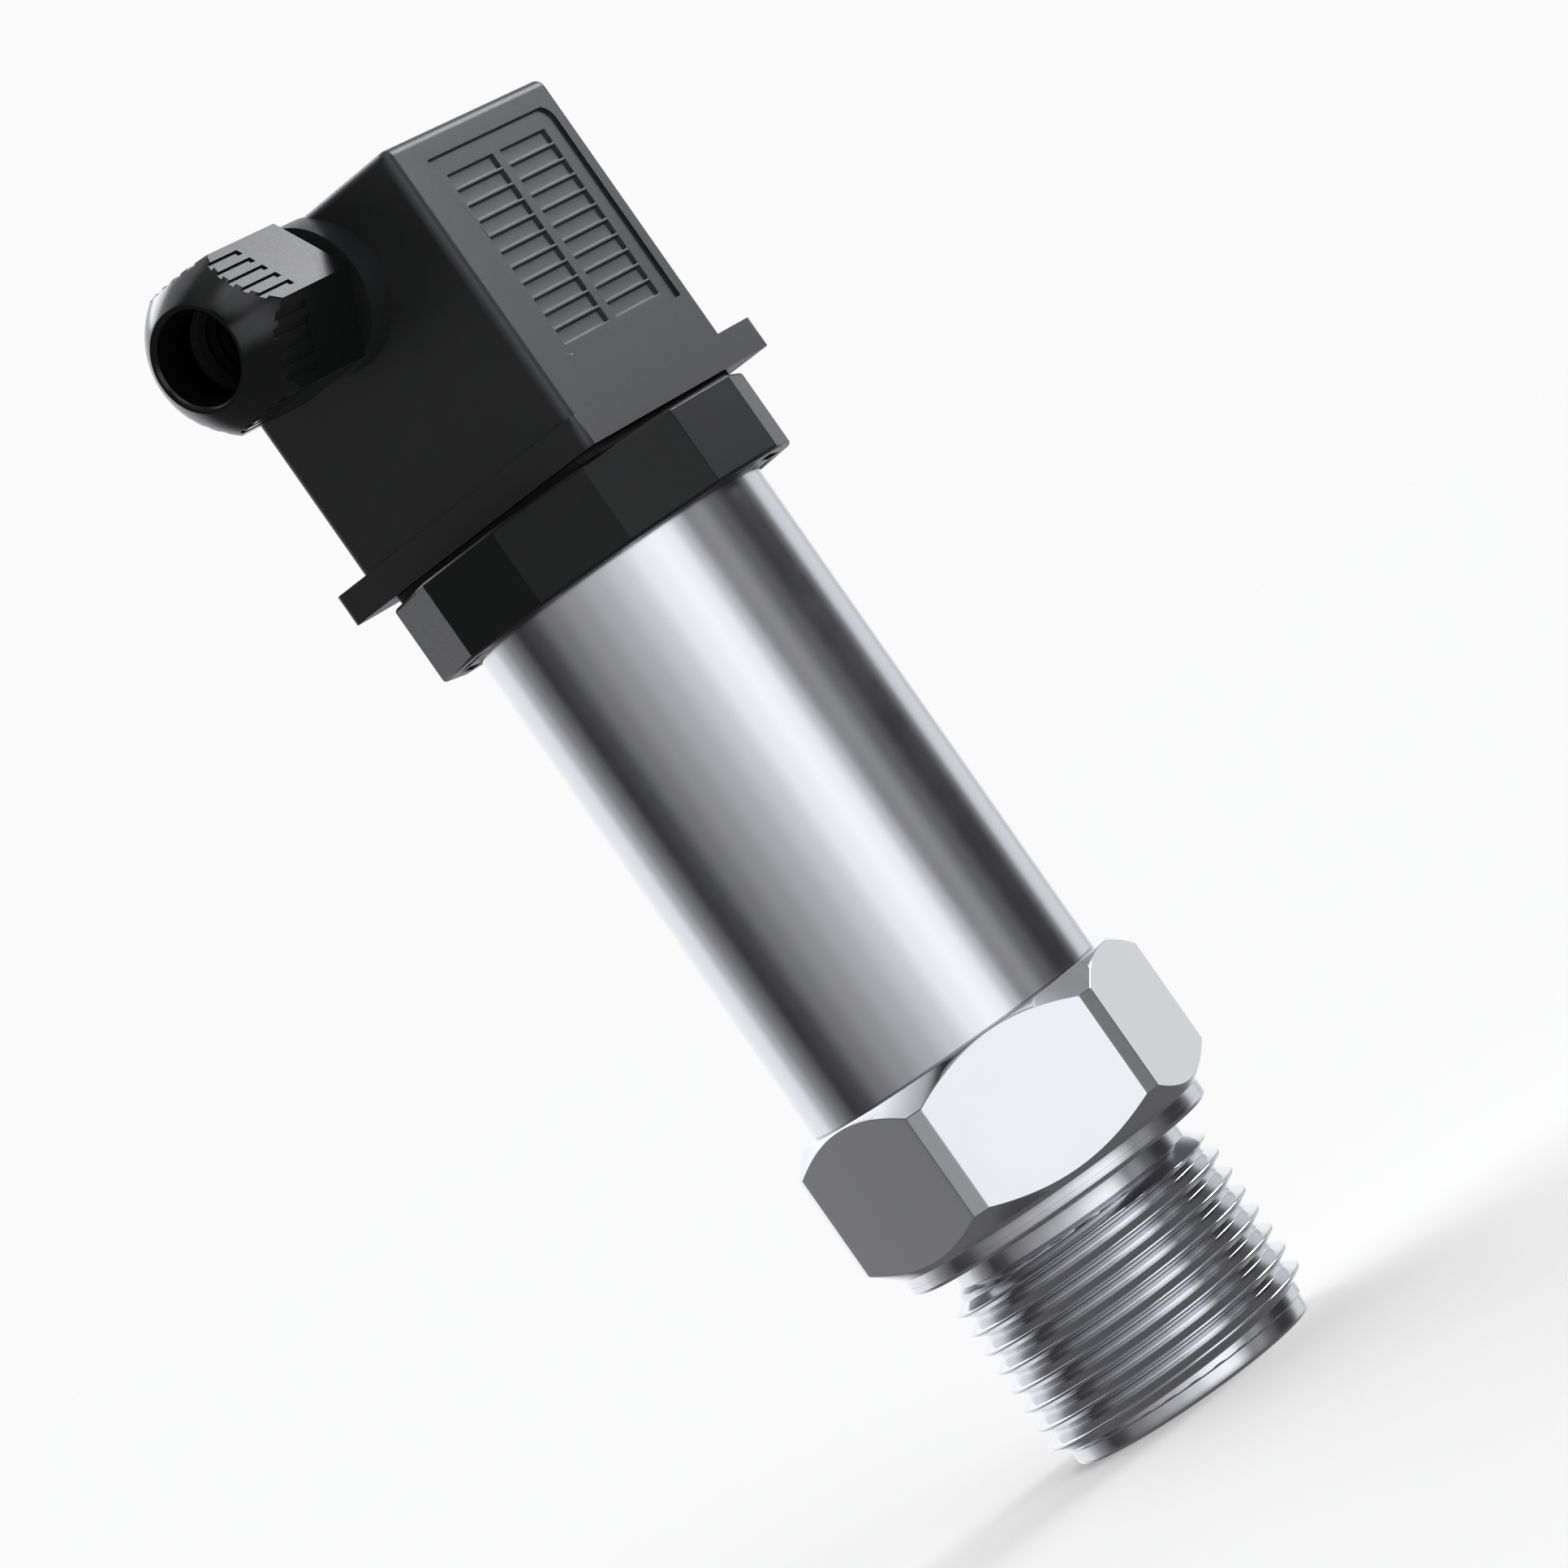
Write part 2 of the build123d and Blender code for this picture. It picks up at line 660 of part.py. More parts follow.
# The insert that holds the four contacts in the plug
pocket_clear_width = contact_width + 2 * slip
pocket_clear_thickness = contact_thickness + 2 * slip
with BuildPart() as terminal_insert:
    with BuildSketch(Plane.XY.offset(plug_bottom)):
        Rectangle(cavity_width - 2 * slip, cavity_depth - 2 * slip)
    extrude(amount=terminal_height)
    with BuildSketch(Plane.XY.offset(plug_bottom + terminal_floor)):
        with PolarLocations(blade_circle_radius, 4):
            Rectangle(pocket_clear_thickness, pocket_clear_width)
    extrude(amount=terminal_height - terminal_floor, mode=Mode.SUBTRACT)
    with BuildSketch(Plane.XY.offset(plug_bottom)):
        with PolarLocations(blade_circle_radius, 4):
            Rectangle(
                blade_thickness + 3 * blade_clearance, blade_width + 3 * blade_clearance
            )
    extrude(amount=terminal_floor, mode=Mode.SUBTRACT)
    with BuildSketch(Plane.XY.offset(plug_bottom)):
        Circle(screw_radius + blade_clearance)
    extrude(amount=terminal_height, mode=Mode.SUBTRACT)
terminal_insert.part.label = "terminal_insert"
export_step(terminal_insert.part, "parts/terminal_insert.step")

contact_bottom = plug_bottom + terminal_floor
contact_top = contact_bottom + contact_height
with BuildPart() as socket_contacts:
    with BuildSketch(Plane.XY.offset(contact_bottom)):
        with PolarLocations(blade_circle_radius, 4):
            Rectangle(contact_thickness, contact_width)
    extrude(amount=contact_height)
    with BuildSketch(Plane.XY.offset(contact_bottom)):
        with PolarLocations(blade_circle_radius, 4):
            Rectangle(
                blade_thickness + 2 * blade_clearance, blade_width + 2 * blade_clearance
            )
    extrude(amount=contact_height - contact_slot_top, mode=Mode.SUBTRACT)
    with BuildSketch(Plane.XY.offset(contact_top)):
        with PolarLocations(blade_circle_radius, 4):
            Circle(terminal_screw_radius + slip)
    extrude(amount=-terminal_screw_length, mode=Mode.SUBTRACT)
socket_contacts.part.label = "socket_contacts"
export_step(socket_contacts.part, "parts/socket_contacts.step")

with BuildPart() as terminal_screws:
    with BuildSketch(Plane.XY.offset(contact_top)):
        with PolarLocations(blade_circle_radius, 4):
            Circle(terminal_screw_head_radius)
    extrude(amount=terminal_screw_head_height)
    with BuildSketch(Plane.XY.offset(contact_top)):
        with PolarLocations(blade_circle_radius, 4):
            Circle(terminal_screw_radius)
    extrude(amount=-terminal_screw_length)
    with BuildSketch(Plane.XY.offset(contact_top + terminal_screw_head_height)):
        with PolarLocations(blade_circle_radius, 4):
            Rectangle(2 * terminal_screw_head_radius, screw_slot_width / 2)
    extrude(amount=-terminal_screw_head_height / 2, mode=Mode.SUBTRACT)
terminal_screws.part.label = "terminal_screws"
export_step(terminal_screws.part, "parts/terminal_screws.step")


# The screw that holds the plug on the base, and the washer under its head
head_bottom = recess_floor + washer_thickness
screw_tip = collar_top - screw_engagement
with BuildPart() as screw_washer:
    with BuildSketch(Plane.XY.offset(recess_floor)):
        Circle(washer_radius)
        Circle(screw_radius + running, mode=Mode.SUBTRACT)
    extrude(amount=washer_thickness - slip)
screw_washer.part.label = "screw_washer"
export_step(screw_washer.part, "parts/screw_washer.step")

with BuildPart() as fixing_screw:
    with BuildSketch(Plane.XY.offset(screw_tip)):
        Circle(screw_radius)
    extrude(amount=head_bottom - screw_tip)
    chamfer(fixing_screw.edges().group_by(Axis.Z)[0], screw_radius / 4)
    with BuildSketch(Plane.XY.offset(head_bottom)):
        Circle(screw_head_radius)
    extrude(amount=screw_head_height)
    chamfer(fixing_screw.edges().group_by(Axis.Z)[-1], screw_radius / 5)
    with BuildSketch(Plane.XY.offset(head_bottom + screw_head_height)):
        Rectangle(2 * screw_head_radius, screw_slot_width)
    extrude(amount=-screw_slot_depth, mode=Mode.SUBTRACT)
fixing_screw.part.label = "fixing_screw"
export_step(fixing_screw.part, "parts/fixing_screw.step")


# The rubber seal in the gland has ridges in its bore
seal_inner_end = seal_outer_end - gland_seal_length
ridge_pitch = gland_seal_length / gland_seal_ridges
ridge_crest = gland_bore_radius - gland_seal_ridge_height
seal_profile = [(seal_bore_radius, seal_inner_end)]
for ridge in range(gland_seal_ridges):
    ridge_start = seal_inner_end + ridge * ridge_pitch
    seal_profile += [
        (gland_bore_radius, ridge_start),
        (ridge_crest, ridge_start + ridge_pitch / 2),
    ]
seal_profile += [(gland_bore_radius, seal_outer_end), (seal_bore_radius, seal_outer_end)]
gland_section = Plane(origin=(0, 0, gland_level), x_dir=(0, 0, 1), z_dir=(0, 1, 0))
gland_axis = Axis((0, 0, gland_level), (-1, 0, 0))
with BuildPart() as gland_seal:
    with BuildSketch(gland_section):
        with BuildLine():
            Polyline(*[(radius, -along) for radius, along in seal_profile], close=True)
        make_face()
    revolve(axis=gland_axis)
gland_seal.part.label = "gland_seal"
export_step(gland_seal.part, "parts/gland_seal.step")

with BuildPart() as gland_washer:
    with BuildSketch(gland_plane.offset(seal_outer_end)):
        Circle(spigot_radius - slip)
        Circle(entry_radius, mode=Mode.SUBTRACT)
    extrude(amount=gland_washer_thickness)
gland_washer.part.label = "gland_washer"
export_step(gland_washer.part, "parts/gland_washer.step")


# The gland nut: a hexagon that runs out into a dome, with short slots at its front edge
dome_start = nut_back + nut_hex_length
dome_middle = dome_start + nut_dome_length / 2
dome_middle_radius = (nut_corner_radius + nut_rim_radius) / 2 + nut_dome_bulge
with BuildPart() as gland_nut:
    with BuildSketch(gland_plane.offset(nut_back)):
        RegularPolygon(nut_across_flats / 2, 6, major_radius=False)
    extrude(amount=nut_tip - nut_back)
    with BuildSketch(gland_section):
        with BuildLine():
            Polyline(
                (nut_rim_radius, -nut_tip),
                (0, -nut_tip),
                (0, -nut_back),
                (nut_corner_radius, -nut_back),
                (nut_corner_radius, -dome_start),
            )
            ThreePointArc(
                (nut_corner_radius, -dome_start),
                (dome_middle_radius, -dome_middle),
                (nut_rim_radius, -nut_tip),
            )
        make_face()
    revolve(axis=gland_axis, mode=Mode.INTERSECT)
    for side in range(6):
        side_plane = Plane(
            origin=(0, 0, gland_level),
            x_dir=(1, 0, 0),
            z_dir=(0, sin(side * pi / 3), cos(side * pi / 3)),
        ).offset(nut_across_flats / 2)
        with BuildSketch(side_plane):
            with Locations((-dome_start - serration_length / 4, 0)):
                with GridLocations(1, serration_pitch, 1, serration_count):
                    Rectangle(serration_length * 1.5, serration_width)
        extrude(amount=-serration_depth, mode=Mode.SUBTRACT)
    with BuildSketch(gland_section):
        with BuildLine():
            Polyline(
                (0, -nut_back),
                (spigot_radius + running, -nut_back),
                (spigot_radius + running, -nut_shoulder),
                (entry_radius, -nut_shoulder),
                (entry_radius, -nut_tip + entry_chamfer),
                (entry_radius + entry_chamfer, -nut_tip),
                (0, -nut_tip),
                close=True,
            )
        make_face()
    revolve(axis=gland_axis, mode=Mode.SUBTRACT)
gland_nut.part.label = "gland_nut"
export_step(gland_nut.part, "parts/gland_nut.step")
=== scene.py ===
# %% [markdown]
# # A pressure transmitter with a square cable plug
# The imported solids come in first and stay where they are. Everything else in this file is
# finish: a real helix on the thread, small radii on the edges that catch light, and a
# procedural material for every piece. All lengths below are millimetres times MM, because
# Blender works in metres.

import json
from math import atan2, ceil, cos, hypot, pi, radians, sin, tan

import bmesh
import bpy
from mathutils import Matrix, Vector

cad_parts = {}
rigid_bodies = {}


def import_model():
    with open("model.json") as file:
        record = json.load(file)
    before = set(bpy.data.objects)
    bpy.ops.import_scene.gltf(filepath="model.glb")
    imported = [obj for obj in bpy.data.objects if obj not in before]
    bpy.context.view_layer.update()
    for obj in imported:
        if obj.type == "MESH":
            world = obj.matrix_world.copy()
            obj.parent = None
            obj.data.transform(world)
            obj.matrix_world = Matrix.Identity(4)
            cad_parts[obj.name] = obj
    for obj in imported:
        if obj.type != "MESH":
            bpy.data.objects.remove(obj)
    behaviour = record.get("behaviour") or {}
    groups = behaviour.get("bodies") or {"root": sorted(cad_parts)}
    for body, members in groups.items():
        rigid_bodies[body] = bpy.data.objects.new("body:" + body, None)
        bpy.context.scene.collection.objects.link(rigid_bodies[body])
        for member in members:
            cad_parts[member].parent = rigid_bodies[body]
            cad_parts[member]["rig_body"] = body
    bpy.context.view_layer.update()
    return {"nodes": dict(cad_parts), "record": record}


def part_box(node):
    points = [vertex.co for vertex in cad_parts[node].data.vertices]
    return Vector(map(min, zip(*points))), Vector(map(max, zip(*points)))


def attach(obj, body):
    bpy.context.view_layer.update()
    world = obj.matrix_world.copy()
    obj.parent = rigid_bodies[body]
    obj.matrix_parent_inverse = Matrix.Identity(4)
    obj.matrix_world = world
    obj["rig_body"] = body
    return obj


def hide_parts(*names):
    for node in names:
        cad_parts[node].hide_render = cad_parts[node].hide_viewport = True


MM = 0.001
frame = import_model()

# %% [markdown]
# ## Camera
# The photograph was taken with a long lens, level with the middle of the body, and the
# picture is turned by 35 degrees so that the body lies along a diagonal. The camera is
# therefore built from three directions: towards the camera, the picture's right and the
# picture's up. A Track To constraint could aim a camera too, but it gives no say in the
# picture's roll. A long focal length keeps the perspective as flat as it is in the picture.

# %% Camera
view_azimuth = radians(215.4)
camera_roll = radians(35)
camera_distance = 521.1 * MM
lens_length = 137.9
sensor_width = 36
farthest_seen = 20
aim_height = 63.1 * MM
aim_sideways = 0.746 * MM

toward_camera = Vector((cos(view_azimuth), sin(view_azimuth), 0))
level_right = Vector((-sin(view_azimuth), cos(view_azimuth), 0))
upright = Vector((0, 0, 1))
picture_right = cos(camera_roll) * level_right - sin(camera_roll) * upright
picture_up = sin(camera_roll) * level_right + cos(camera_roll) * upright

camera_data = bpy.data.cameras.new("camera")
camera_data.lens = lens_length
camera_data.sensor_width = sensor_width
camera_data.clip_end = farthest_seen
camera = bpy.data.objects.new("camera", camera_data)
bpy.context.scene.collection.objects.link(camera)
aim_point = aim_height * upright + aim_sideways * level_right
camera_place = aim_point + camera_distance * toward_camera
turn = Matrix((picture_right, picture_up, toward_camera)).transposed()
camera.matrix_world = Matrix.Translation(camera_place) @ turn.to_4x4()
bpy.context.scene.camera = camera
bpy.context.scene.view_settings.view_transform = "Standard"
print("camera", [round(value / MM, 1) for value in camera_place], "mm")

# %% [markdown]
# ## A small helper for node trees
# Every tree below is written out link by link. Two short functions keep that readable: one
# adds a node and sets its properties, the other joins an output to an input or, where the
# value is a plain number or colour, writes it in the input.

# %% Node helpers
def add_node(tree, kind, **properties):
    node = tree.nodes.new(kind)
    for name, value in properties.items():
        setattr(node, name, value)
    return node


def feed(tree, value, socket):
    if isinstance(value, bpy.types.NodeSocket):
        tree.links.new(value, socket)
    else:
        socket.default_value = value


def math_node(tree, operation, *values):
    node = add_node(tree, "ShaderNodeMath", operation=operation)
    for value, socket in zip(values, node.inputs):
        feed(tree, value, socket)
    return node.outputs[0]


def map_range(tree, value, low, high, new_low, new_high, kind="SMOOTHSTEP"):
    node = add_node(tree, "ShaderNodeMapRange", interpolation_type=kind)
    for given, socket in zip((value, low, high, new_low, new_high), node.inputs):
        feed(tree, given, socket)
    return node.outputs[0]


# %% [markdown]
# ## Studio
# Polished steel has no colour of its own to show: it shows the room. A photographer stands
# the part in a pale tent and hangs tall dark flags and bright panels round it, and these
# make the long stripes on a tube. Area lamps could stand for them, but each would show as a
# hard shape of its own in the steel. Here the world is the tent. The camera sees plain pale
# paper. Reflections see three rows of panels, each a ramp round the compass that is counted
# from the camera's own direction, -180 to 180 degrees, with its level. Upright walls mirror
# the lowest row, the flanks of the thread see a middle one that is dark at the front, the
# hexagon's cones mirror the upper one, and the ceiling and the floor side are plain. The
# pairs of heights, as sines of the angle above the horizon, say where one gives way to the
# next.

# %% Panels of the tent
PALE = 0.956
CEILING_LEVEL = 0.36
LOWER_LEVEL = 0.13
LOWER_TO_MIDDLE = (0.14, 0.30)
MIDDLE_TO_UPPER = (0.64, 0.78)
UPPER_TO_CEILING = (0.985, 0.999)
LOWER_TO_FLOOR_SIDE = (-0.16, -0.50)
STUDIO_TINT = (0.965, 0.972, 1.0)
lower_row = [
    (-180, 1.05), (-165, 1.02), (-150, 0.97), (-131, 0.92), (-119, 0.50), (-108, 0.25),
    (-98, 0.13), (-91, 0.04), (-78, 0.07), (-62, 0.21), (-40, 0.35), (-20, 0.51), (0, 0.74),
    (15, 1.06), (30, 1.20), (41, 1.10), (50, 0.62), (58, 0.27), (68, 0.32), (82, 0.14),
    (98, 0.04), (113, 0.04), (121, 0.15), (131, 0.74), (145, 0.78), (156, 0.60),
    (170, 1.00), (180, 1.05),
]
middle_row = [
    (-180, 1.15), (-148, 1.12), (-122, 1.05), (-106, 0.50), (-95, 0.06), (-60, 0.03), (60, 0.03),
    (95, 0.05), (112, 0.30), (134, 0.28), (141, 0.20), (147, 0.33), (156, 0.60), (168, 1.10),
    (180, 1.15),
]
upper_row = [
    (-180, 1.15), (-148, 1.12), (-113, 1.15), (-107, 0.70), (-92, 0.50), (-84, 0.10),
    (-74, 0.08), (-60, 0.20), (0, 0.35), (74, 0.36), (88, 0.55), (97, 0.92), (104, 0.88),
    (112, 0.50), (120, 0.32), (134, 0.29), (141, 0.20), (147, 0.33), (156, 0.60), (168, 1.10),
    (180, 1.15),
]

# %% Helper for a row of panels
def panel_row(tree, place, stops):
    row = add_node(tree, "ShaderNodeValToRGB")
    ramp = row.color_ramp
    ramp.interpolation = "EASE"
    ramp.elements.remove(ramp.elements[-1])
    for step, (bearing, level) in enumerate(stops):
        position = (bearing + 180) / 360
        stop = ramp.elements[0] if step == 0 else ramp.elements.new(position)
        stop.position = position
        stop.color = (level, level, level, 1)
    feed(tree, place, row.inputs[0])
    return row.outputs[0]


# %% [markdown]
# ## Key panels
# Four key panels are added to the rows. Two hang at the back right, where the plug's right
# face and the sloping side of the gland nut catch them as their brightest tone. One at the
# back left and a soft one at the front right shape the nut's dome. Each has a bearing from
# the camera, a height, and the angles of its full core and its soft edge, in degrees. Only
# a first reflection sees them, or the thread's grooves would throw them back as white spots.

# %% World
key_panels = [
    {"bearing": 123, "height": 28, "core": 8, "edge": 13, "level": 5.5},
    {"bearing": 109, "height": 20, "core": 8, "edge": 15, "level": 6.0},
    {"bearing": -157, "height": 40, "core": 10, "edge": 15, "level": 3.5},
    {"bearing": 36, "height": 38, "core": 12, "edge": 27, "level": 1.3},
]

FIRST_REFLECTION = 1.5
world = bpy.data.worlds.new("studio")
world.use_nodes = True
bpy.context.scene.world = world
tree = world.node_tree
tree.nodes.clear()
direction = add_node(tree, "ShaderNodeTexCoord").outputs["Generated"]
parts = add_node(tree, "ShaderNodeSeparateXYZ")
feed(tree, direction, parts.inputs[0])
compass = math_node(tree, "ARCTAN2", parts.outputs["Y"], parts.outputs["X"])
from_camera = math_node(tree, "SUBTRACT", compass, view_azimuth - 2 * pi)
half_turns = math_node(tree, "WRAP", from_camera, pi, -pi)
place = map_range(tree, half_turns, -pi, pi, 0.0, 1.0, "LINEAR")
level = panel_row(tree, place, lower_row)
for heights, above in (
    (LOWER_TO_MIDDLE, panel_row(tree, place, middle_row)),
    (MIDDLE_TO_UPPER, panel_row(tree, place, upper_row)),
    (UPPER_TO_CEILING, CEILING_LEVEL),
    (LOWER_TO_FLOOR_SIDE, LOWER_LEVEL),
):
    share = map_range(tree, parts.outputs["Z"], *heights, 0.0, 1.0)
    level = map_range(tree, share, 0.0, 1.0, level, above, "LINEAR")
path = add_node(tree, "ShaderNodeLightPath")
first_glance = math_node(tree, "LESS_THAN", path.outputs["Glossy Depth"], FIRST_REFLECTION)
for panel in key_panels:
    bearing = view_azimuth + radians(panel["bearing"])
    height, core, edge = (radians(panel[angle]) for angle in ("height", "core", "edge"))
    aim = (cos(bearing) * cos(height), sin(bearing) * cos(height), sin(height))
    facing = add_node(tree, "ShaderNodeVectorMath", operation="DOT_PRODUCT")
    feed(tree, direction, facing.inputs[0])
    feed(tree, aim, facing.inputs[1])
    key = map_range(tree, facing.outputs["Value"], cos(edge), cos(core), 0.0, panel["level"])
    level = math_node(tree, "MULTIPLY_ADD", key, first_glance, level)
tent = add_node(tree, "ShaderNodeBackground")
feed(tree, (*STUDIO_TINT, 1), tent.inputs["Color"])
feed(tree, level, tent.inputs["Strength"])
paper = add_node(tree, "ShaderNodeBackground")
feed(tree, (PALE, PALE, PALE, 1), paper.inputs["Color"])
seen = math_node(tree, "MAXIMUM", path.outputs["Is Camera Ray"], path.outputs["Is Transmission Ray"])
choose = add_node(tree, "ShaderNodeMixShader")
feed(tree, seen, choose.inputs[0])
feed(tree, tent.outputs[0], choose.inputs[1])
feed(tree, paper.outputs[0], choose.inputs[2])
output = add_node(tree, "ShaderNodeOutputWorld")
feed(tree, choose.outputs[0], output.inputs["Surface"])
print("world with", len(lower_row), len(middle_row), "and", len(upper_row), "panels")

# %% [markdown]
# ## Floor
# The part stands on its nose on a wide pale sheet. The tent is dim, so the sheet alone
# would look grey beside the paper behind it. For the camera alone it gets a little light of
# its own, just enough to reach the paper's tone, so no horizon shows and the shadow stays.
# A shadow catcher would do the same, but it needs a second picture to be laid over.
# Polished steel would mirror a white floor from below, so reflections pass through it to
# the dark lower half of the tent.

# %% Floor
FLOOR_COLOUR = (0.85, 0.85, 0.84)
FLOOR_GLOW = (0.252, 0.248, 0.240)
FLOOR_HALF = 2.5
floor_mesh = bpy.data.meshes.new("floor")
floor_corners = [
    (-FLOOR_HALF, -FLOOR_HALF, 0), (FLOOR_HALF, -FLOOR_HALF, 0),
    (FLOOR_HALF, FLOOR_HALF, 0), (-FLOOR_HALF, FLOOR_HALF, 0),
]
floor_mesh.from_pydata(floor_corners, [], [(0, 1, 2, 3)])
floor = bpy.data.objects.new("floor", floor_mesh)
bpy.context.scene.collection.objects.link(floor)

floor_finish = bpy.data.materials.new("floor_paper")
floor_finish.use_nodes = True
tree = floor_finish.node_tree
tree.nodes.clear()
path = add_node(tree, "ShaderNodeLightPath")
sheet = add_node(tree, "ShaderNodeBsdfDiffuse")
feed(tree, (*FLOOR_COLOUR, 1), sheet.inputs["Color"])
glow = add_node(tree, "ShaderNodeEmission")
feed(tree, (*FLOOR_GLOW, 1), glow.inputs["Color"])
feed(tree, path.outputs["Is Camera Ray"], glow.inputs["Strength"])
lit = add_node(tree, "ShaderNodeAddShader")
feed(tree, sheet.outputs[0], lit.inputs[0])
feed(tree, glow.outputs[0], lit.inputs[1])
clear = add_node(tree, "ShaderNodeBsdfTransparent")
choose = add_node(tree, "ShaderNodeMixShader")
feed(tree, path.outputs["Is Glossy Ray"], choose.inputs[0])
feed(tree, lit.outputs[0], choose.inputs[1])
feed(tree, clear.outputs[0], choose.inputs[2])
output = add_node(tree, "ShaderNodeOutputMaterial")
feed(tree, choose.outputs[0], output.inputs["Surface"])
floor_mesh.materials.append(floor_finish)
print("floor", 2 * FLOOR_HALF, "m wide")

# %% [markdown]
# ## Finishes
# Each finish is a Principled shader whose roughness, colour and bump come from noise on
# Object coordinates, so that the pattern keeps its real size in millimetres and no piece
# needs a UV map. Two kinds are enough: metal, whose marks run round the body because the
# noise is stretched along two axes, and moulded plastic or rubber with a fine grain.

# %% Finish helpers
METAL_CLOUD = 6 * MM
MOULDED_CLOUD = 8 * MM
TURNING_STRETCH = (0.02, 0.02, 1)
NOISE_RANGE = (0.3, 0.7)
CLOUD_SWING = 3
GRAIN_GLOSS = (0.9, 1.12)
SURFACE_IOR = 1.5


def new_finish(name, colour, metallic, specular=0.5):
    finish = bpy.data.materials.new(name)
    finish.use_nodes = True
    tree = finish.node_tree
    shader = tree.nodes["Principled BSDF"]
    shader.inputs["Base Color"].default_value = (*colour, 1)
    shader.inputs["Metallic"].default_value = metallic
    shader.inputs["Specular IOR Level"].default_value = specular
    shader.inputs["IOR"].default_value = SURFACE_IOR
    return finish, tree, shader


def noise(tree, scale, detail=3.0, stretch=(1, 1, 1)):
    coordinates = add_node(tree, "ShaderNodeTexCoord")
    mapping = add_node(tree, "ShaderNodeMapping")
    feed(tree, coordinates.outputs["Object"], mapping.inputs["Vector"])
    feed(tree, stretch, mapping.inputs["Scale"])
    texture = add_node(tree, "ShaderNodeTexNoise")
    feed(tree, mapping.outputs[0], texture.inputs["Vector"])
    feed(tree, scale, texture.inputs["Scale"])
    feed(tree, detail, texture.inputs["Detail"])
    return texture.outputs["Fac"]


def vary_colour(tree, shader, colour, amount, pattern):
    darker = tuple(channel * (1 - amount) for channel in colour)
    lighter = tuple(min(1, channel * (1 + amount)) for channel in colour)
    mix = add_node(tree, "ShaderNodeMix", data_type="RGBA")
    feed(tree, pattern, mix.inputs["Factor"])
    feed(tree, (*darker, 1), mix.inputs["A"])
    feed(tree, (*lighter, 1), mix.inputs["B"])
    feed(tree, mix.outputs["Result"], shader.inputs["Base Color"])


def raise_bump(tree, shader, pattern, height):
    bump = add_node(tree, "ShaderNodeBump")
    feed(tree, height, bump.inputs["Distance"])
    feed(tree, 1.0, bump.inputs["Strength"])
    feed(tree, pattern, bump.inputs["Height"])
    feed(tree, bump.outputs[0], shader.inputs["Normal"])


def metal(name, colour, roughness, mark_spacing, mark_height, variation):
    finish, tree, shader = new_finish(name, colour, 1.0)
    around = noise(tree, 1 / mark_spacing, 2.0, TURNING_STRETCH)
    cloud = noise(tree, 1 / METAL_CLOUD)
    vary_colour(tree, shader, colour, variation, cloud)
    glossiest = roughness * (1 - CLOUD_SWING * variation)
    dullest = roughness * (1 + CLOUD_SWING * variation)
    rough = map_range(tree, cloud, *NOISE_RANGE, glossiest, dullest)
    feed(tree, rough, shader.inputs["Roughness"])
    raise_bump(tree, shader, around, mark_height)
    return finish


def moulded(name, colour, roughness, grain_size, grain_height, variation, specular):
    finish, tree, shader = new_finish(name, colour, 0.0, specular)
    grain = noise(tree, 1 / grain_size, 2.0)
    cloud = noise(tree, 1 / MOULDED_CLOUD)
    vary_colour(tree, shader, colour, variation, cloud)
    glossiest, dullest = (roughness * share for share in GRAIN_GLOSS)
    rough = map_range(tree, grain, *NOISE_RANGE, glossiest, dullest)
    feed(tree, rough, shader.inputs["Roughness"])
    raise_bump(tree, shader, grain, grain_height)
    return finish


# %% [markdown]
# ## The finishes of this part
# The names are those of the record's material slots. The tube is drawn and polished, the
# process connection is turned from the same stainless steel, and the plug, the gland and
# the collar are three dark engineering plastics with slightly different gloss. The hexagon's
# flats and the thread have a gloss of their own. A table keeps the numbers side by side: the
# colour, the roughness, the size and the height of the marks or the grain in millimetres,
# how much the colour varies and, for plastics, how strongly the surface shines.

# %% Finishes by slot
metals = {
    "turned_steel": ((0.80, 0.80, 0.83), 0.16, 0.12, 0.0003, 0.04),
    "thread_steel": ((0.80, 0.80, 0.83), 0.12, 0.50, 0.00002, 0.02),
    # The milled flats' colour, a tenth lighter than the turned steel's, is painted light: it stands
    # in for brighter light on the flats.
    "milled_steel": ((0.90, 0.90, 0.92), 0.26, 0.25, 0.0006, 0.01),
    "polished_tube": ((0.80, 0.80, 0.83), 0.15, 0.16, 0.0006, 0.04),
    "diaphragm_foil": ((0.72, 0.72, 0.74), 0.28, 0.30, 0.001, 0.04),
    "cell_steel": ((0.62, 0.62, 0.64), 0.30, 0.20, 0.002, 0.04),
    "gold_pins": ((0.90, 0.68, 0.30), 0.22, 0.10, 0.001, 0.04),
    "brass": ((0.76, 0.58, 0.30), 0.26, 0.10, 0.002, 0.04),
    "tinned_brass": ((0.70, 0.70, 0.69), 0.34, 0.20, 0.002, 0.08),
    "screw_steel": ((0.66, 0.67, 0.69), 0.27, 0.12, 0.002, 0.04),
}
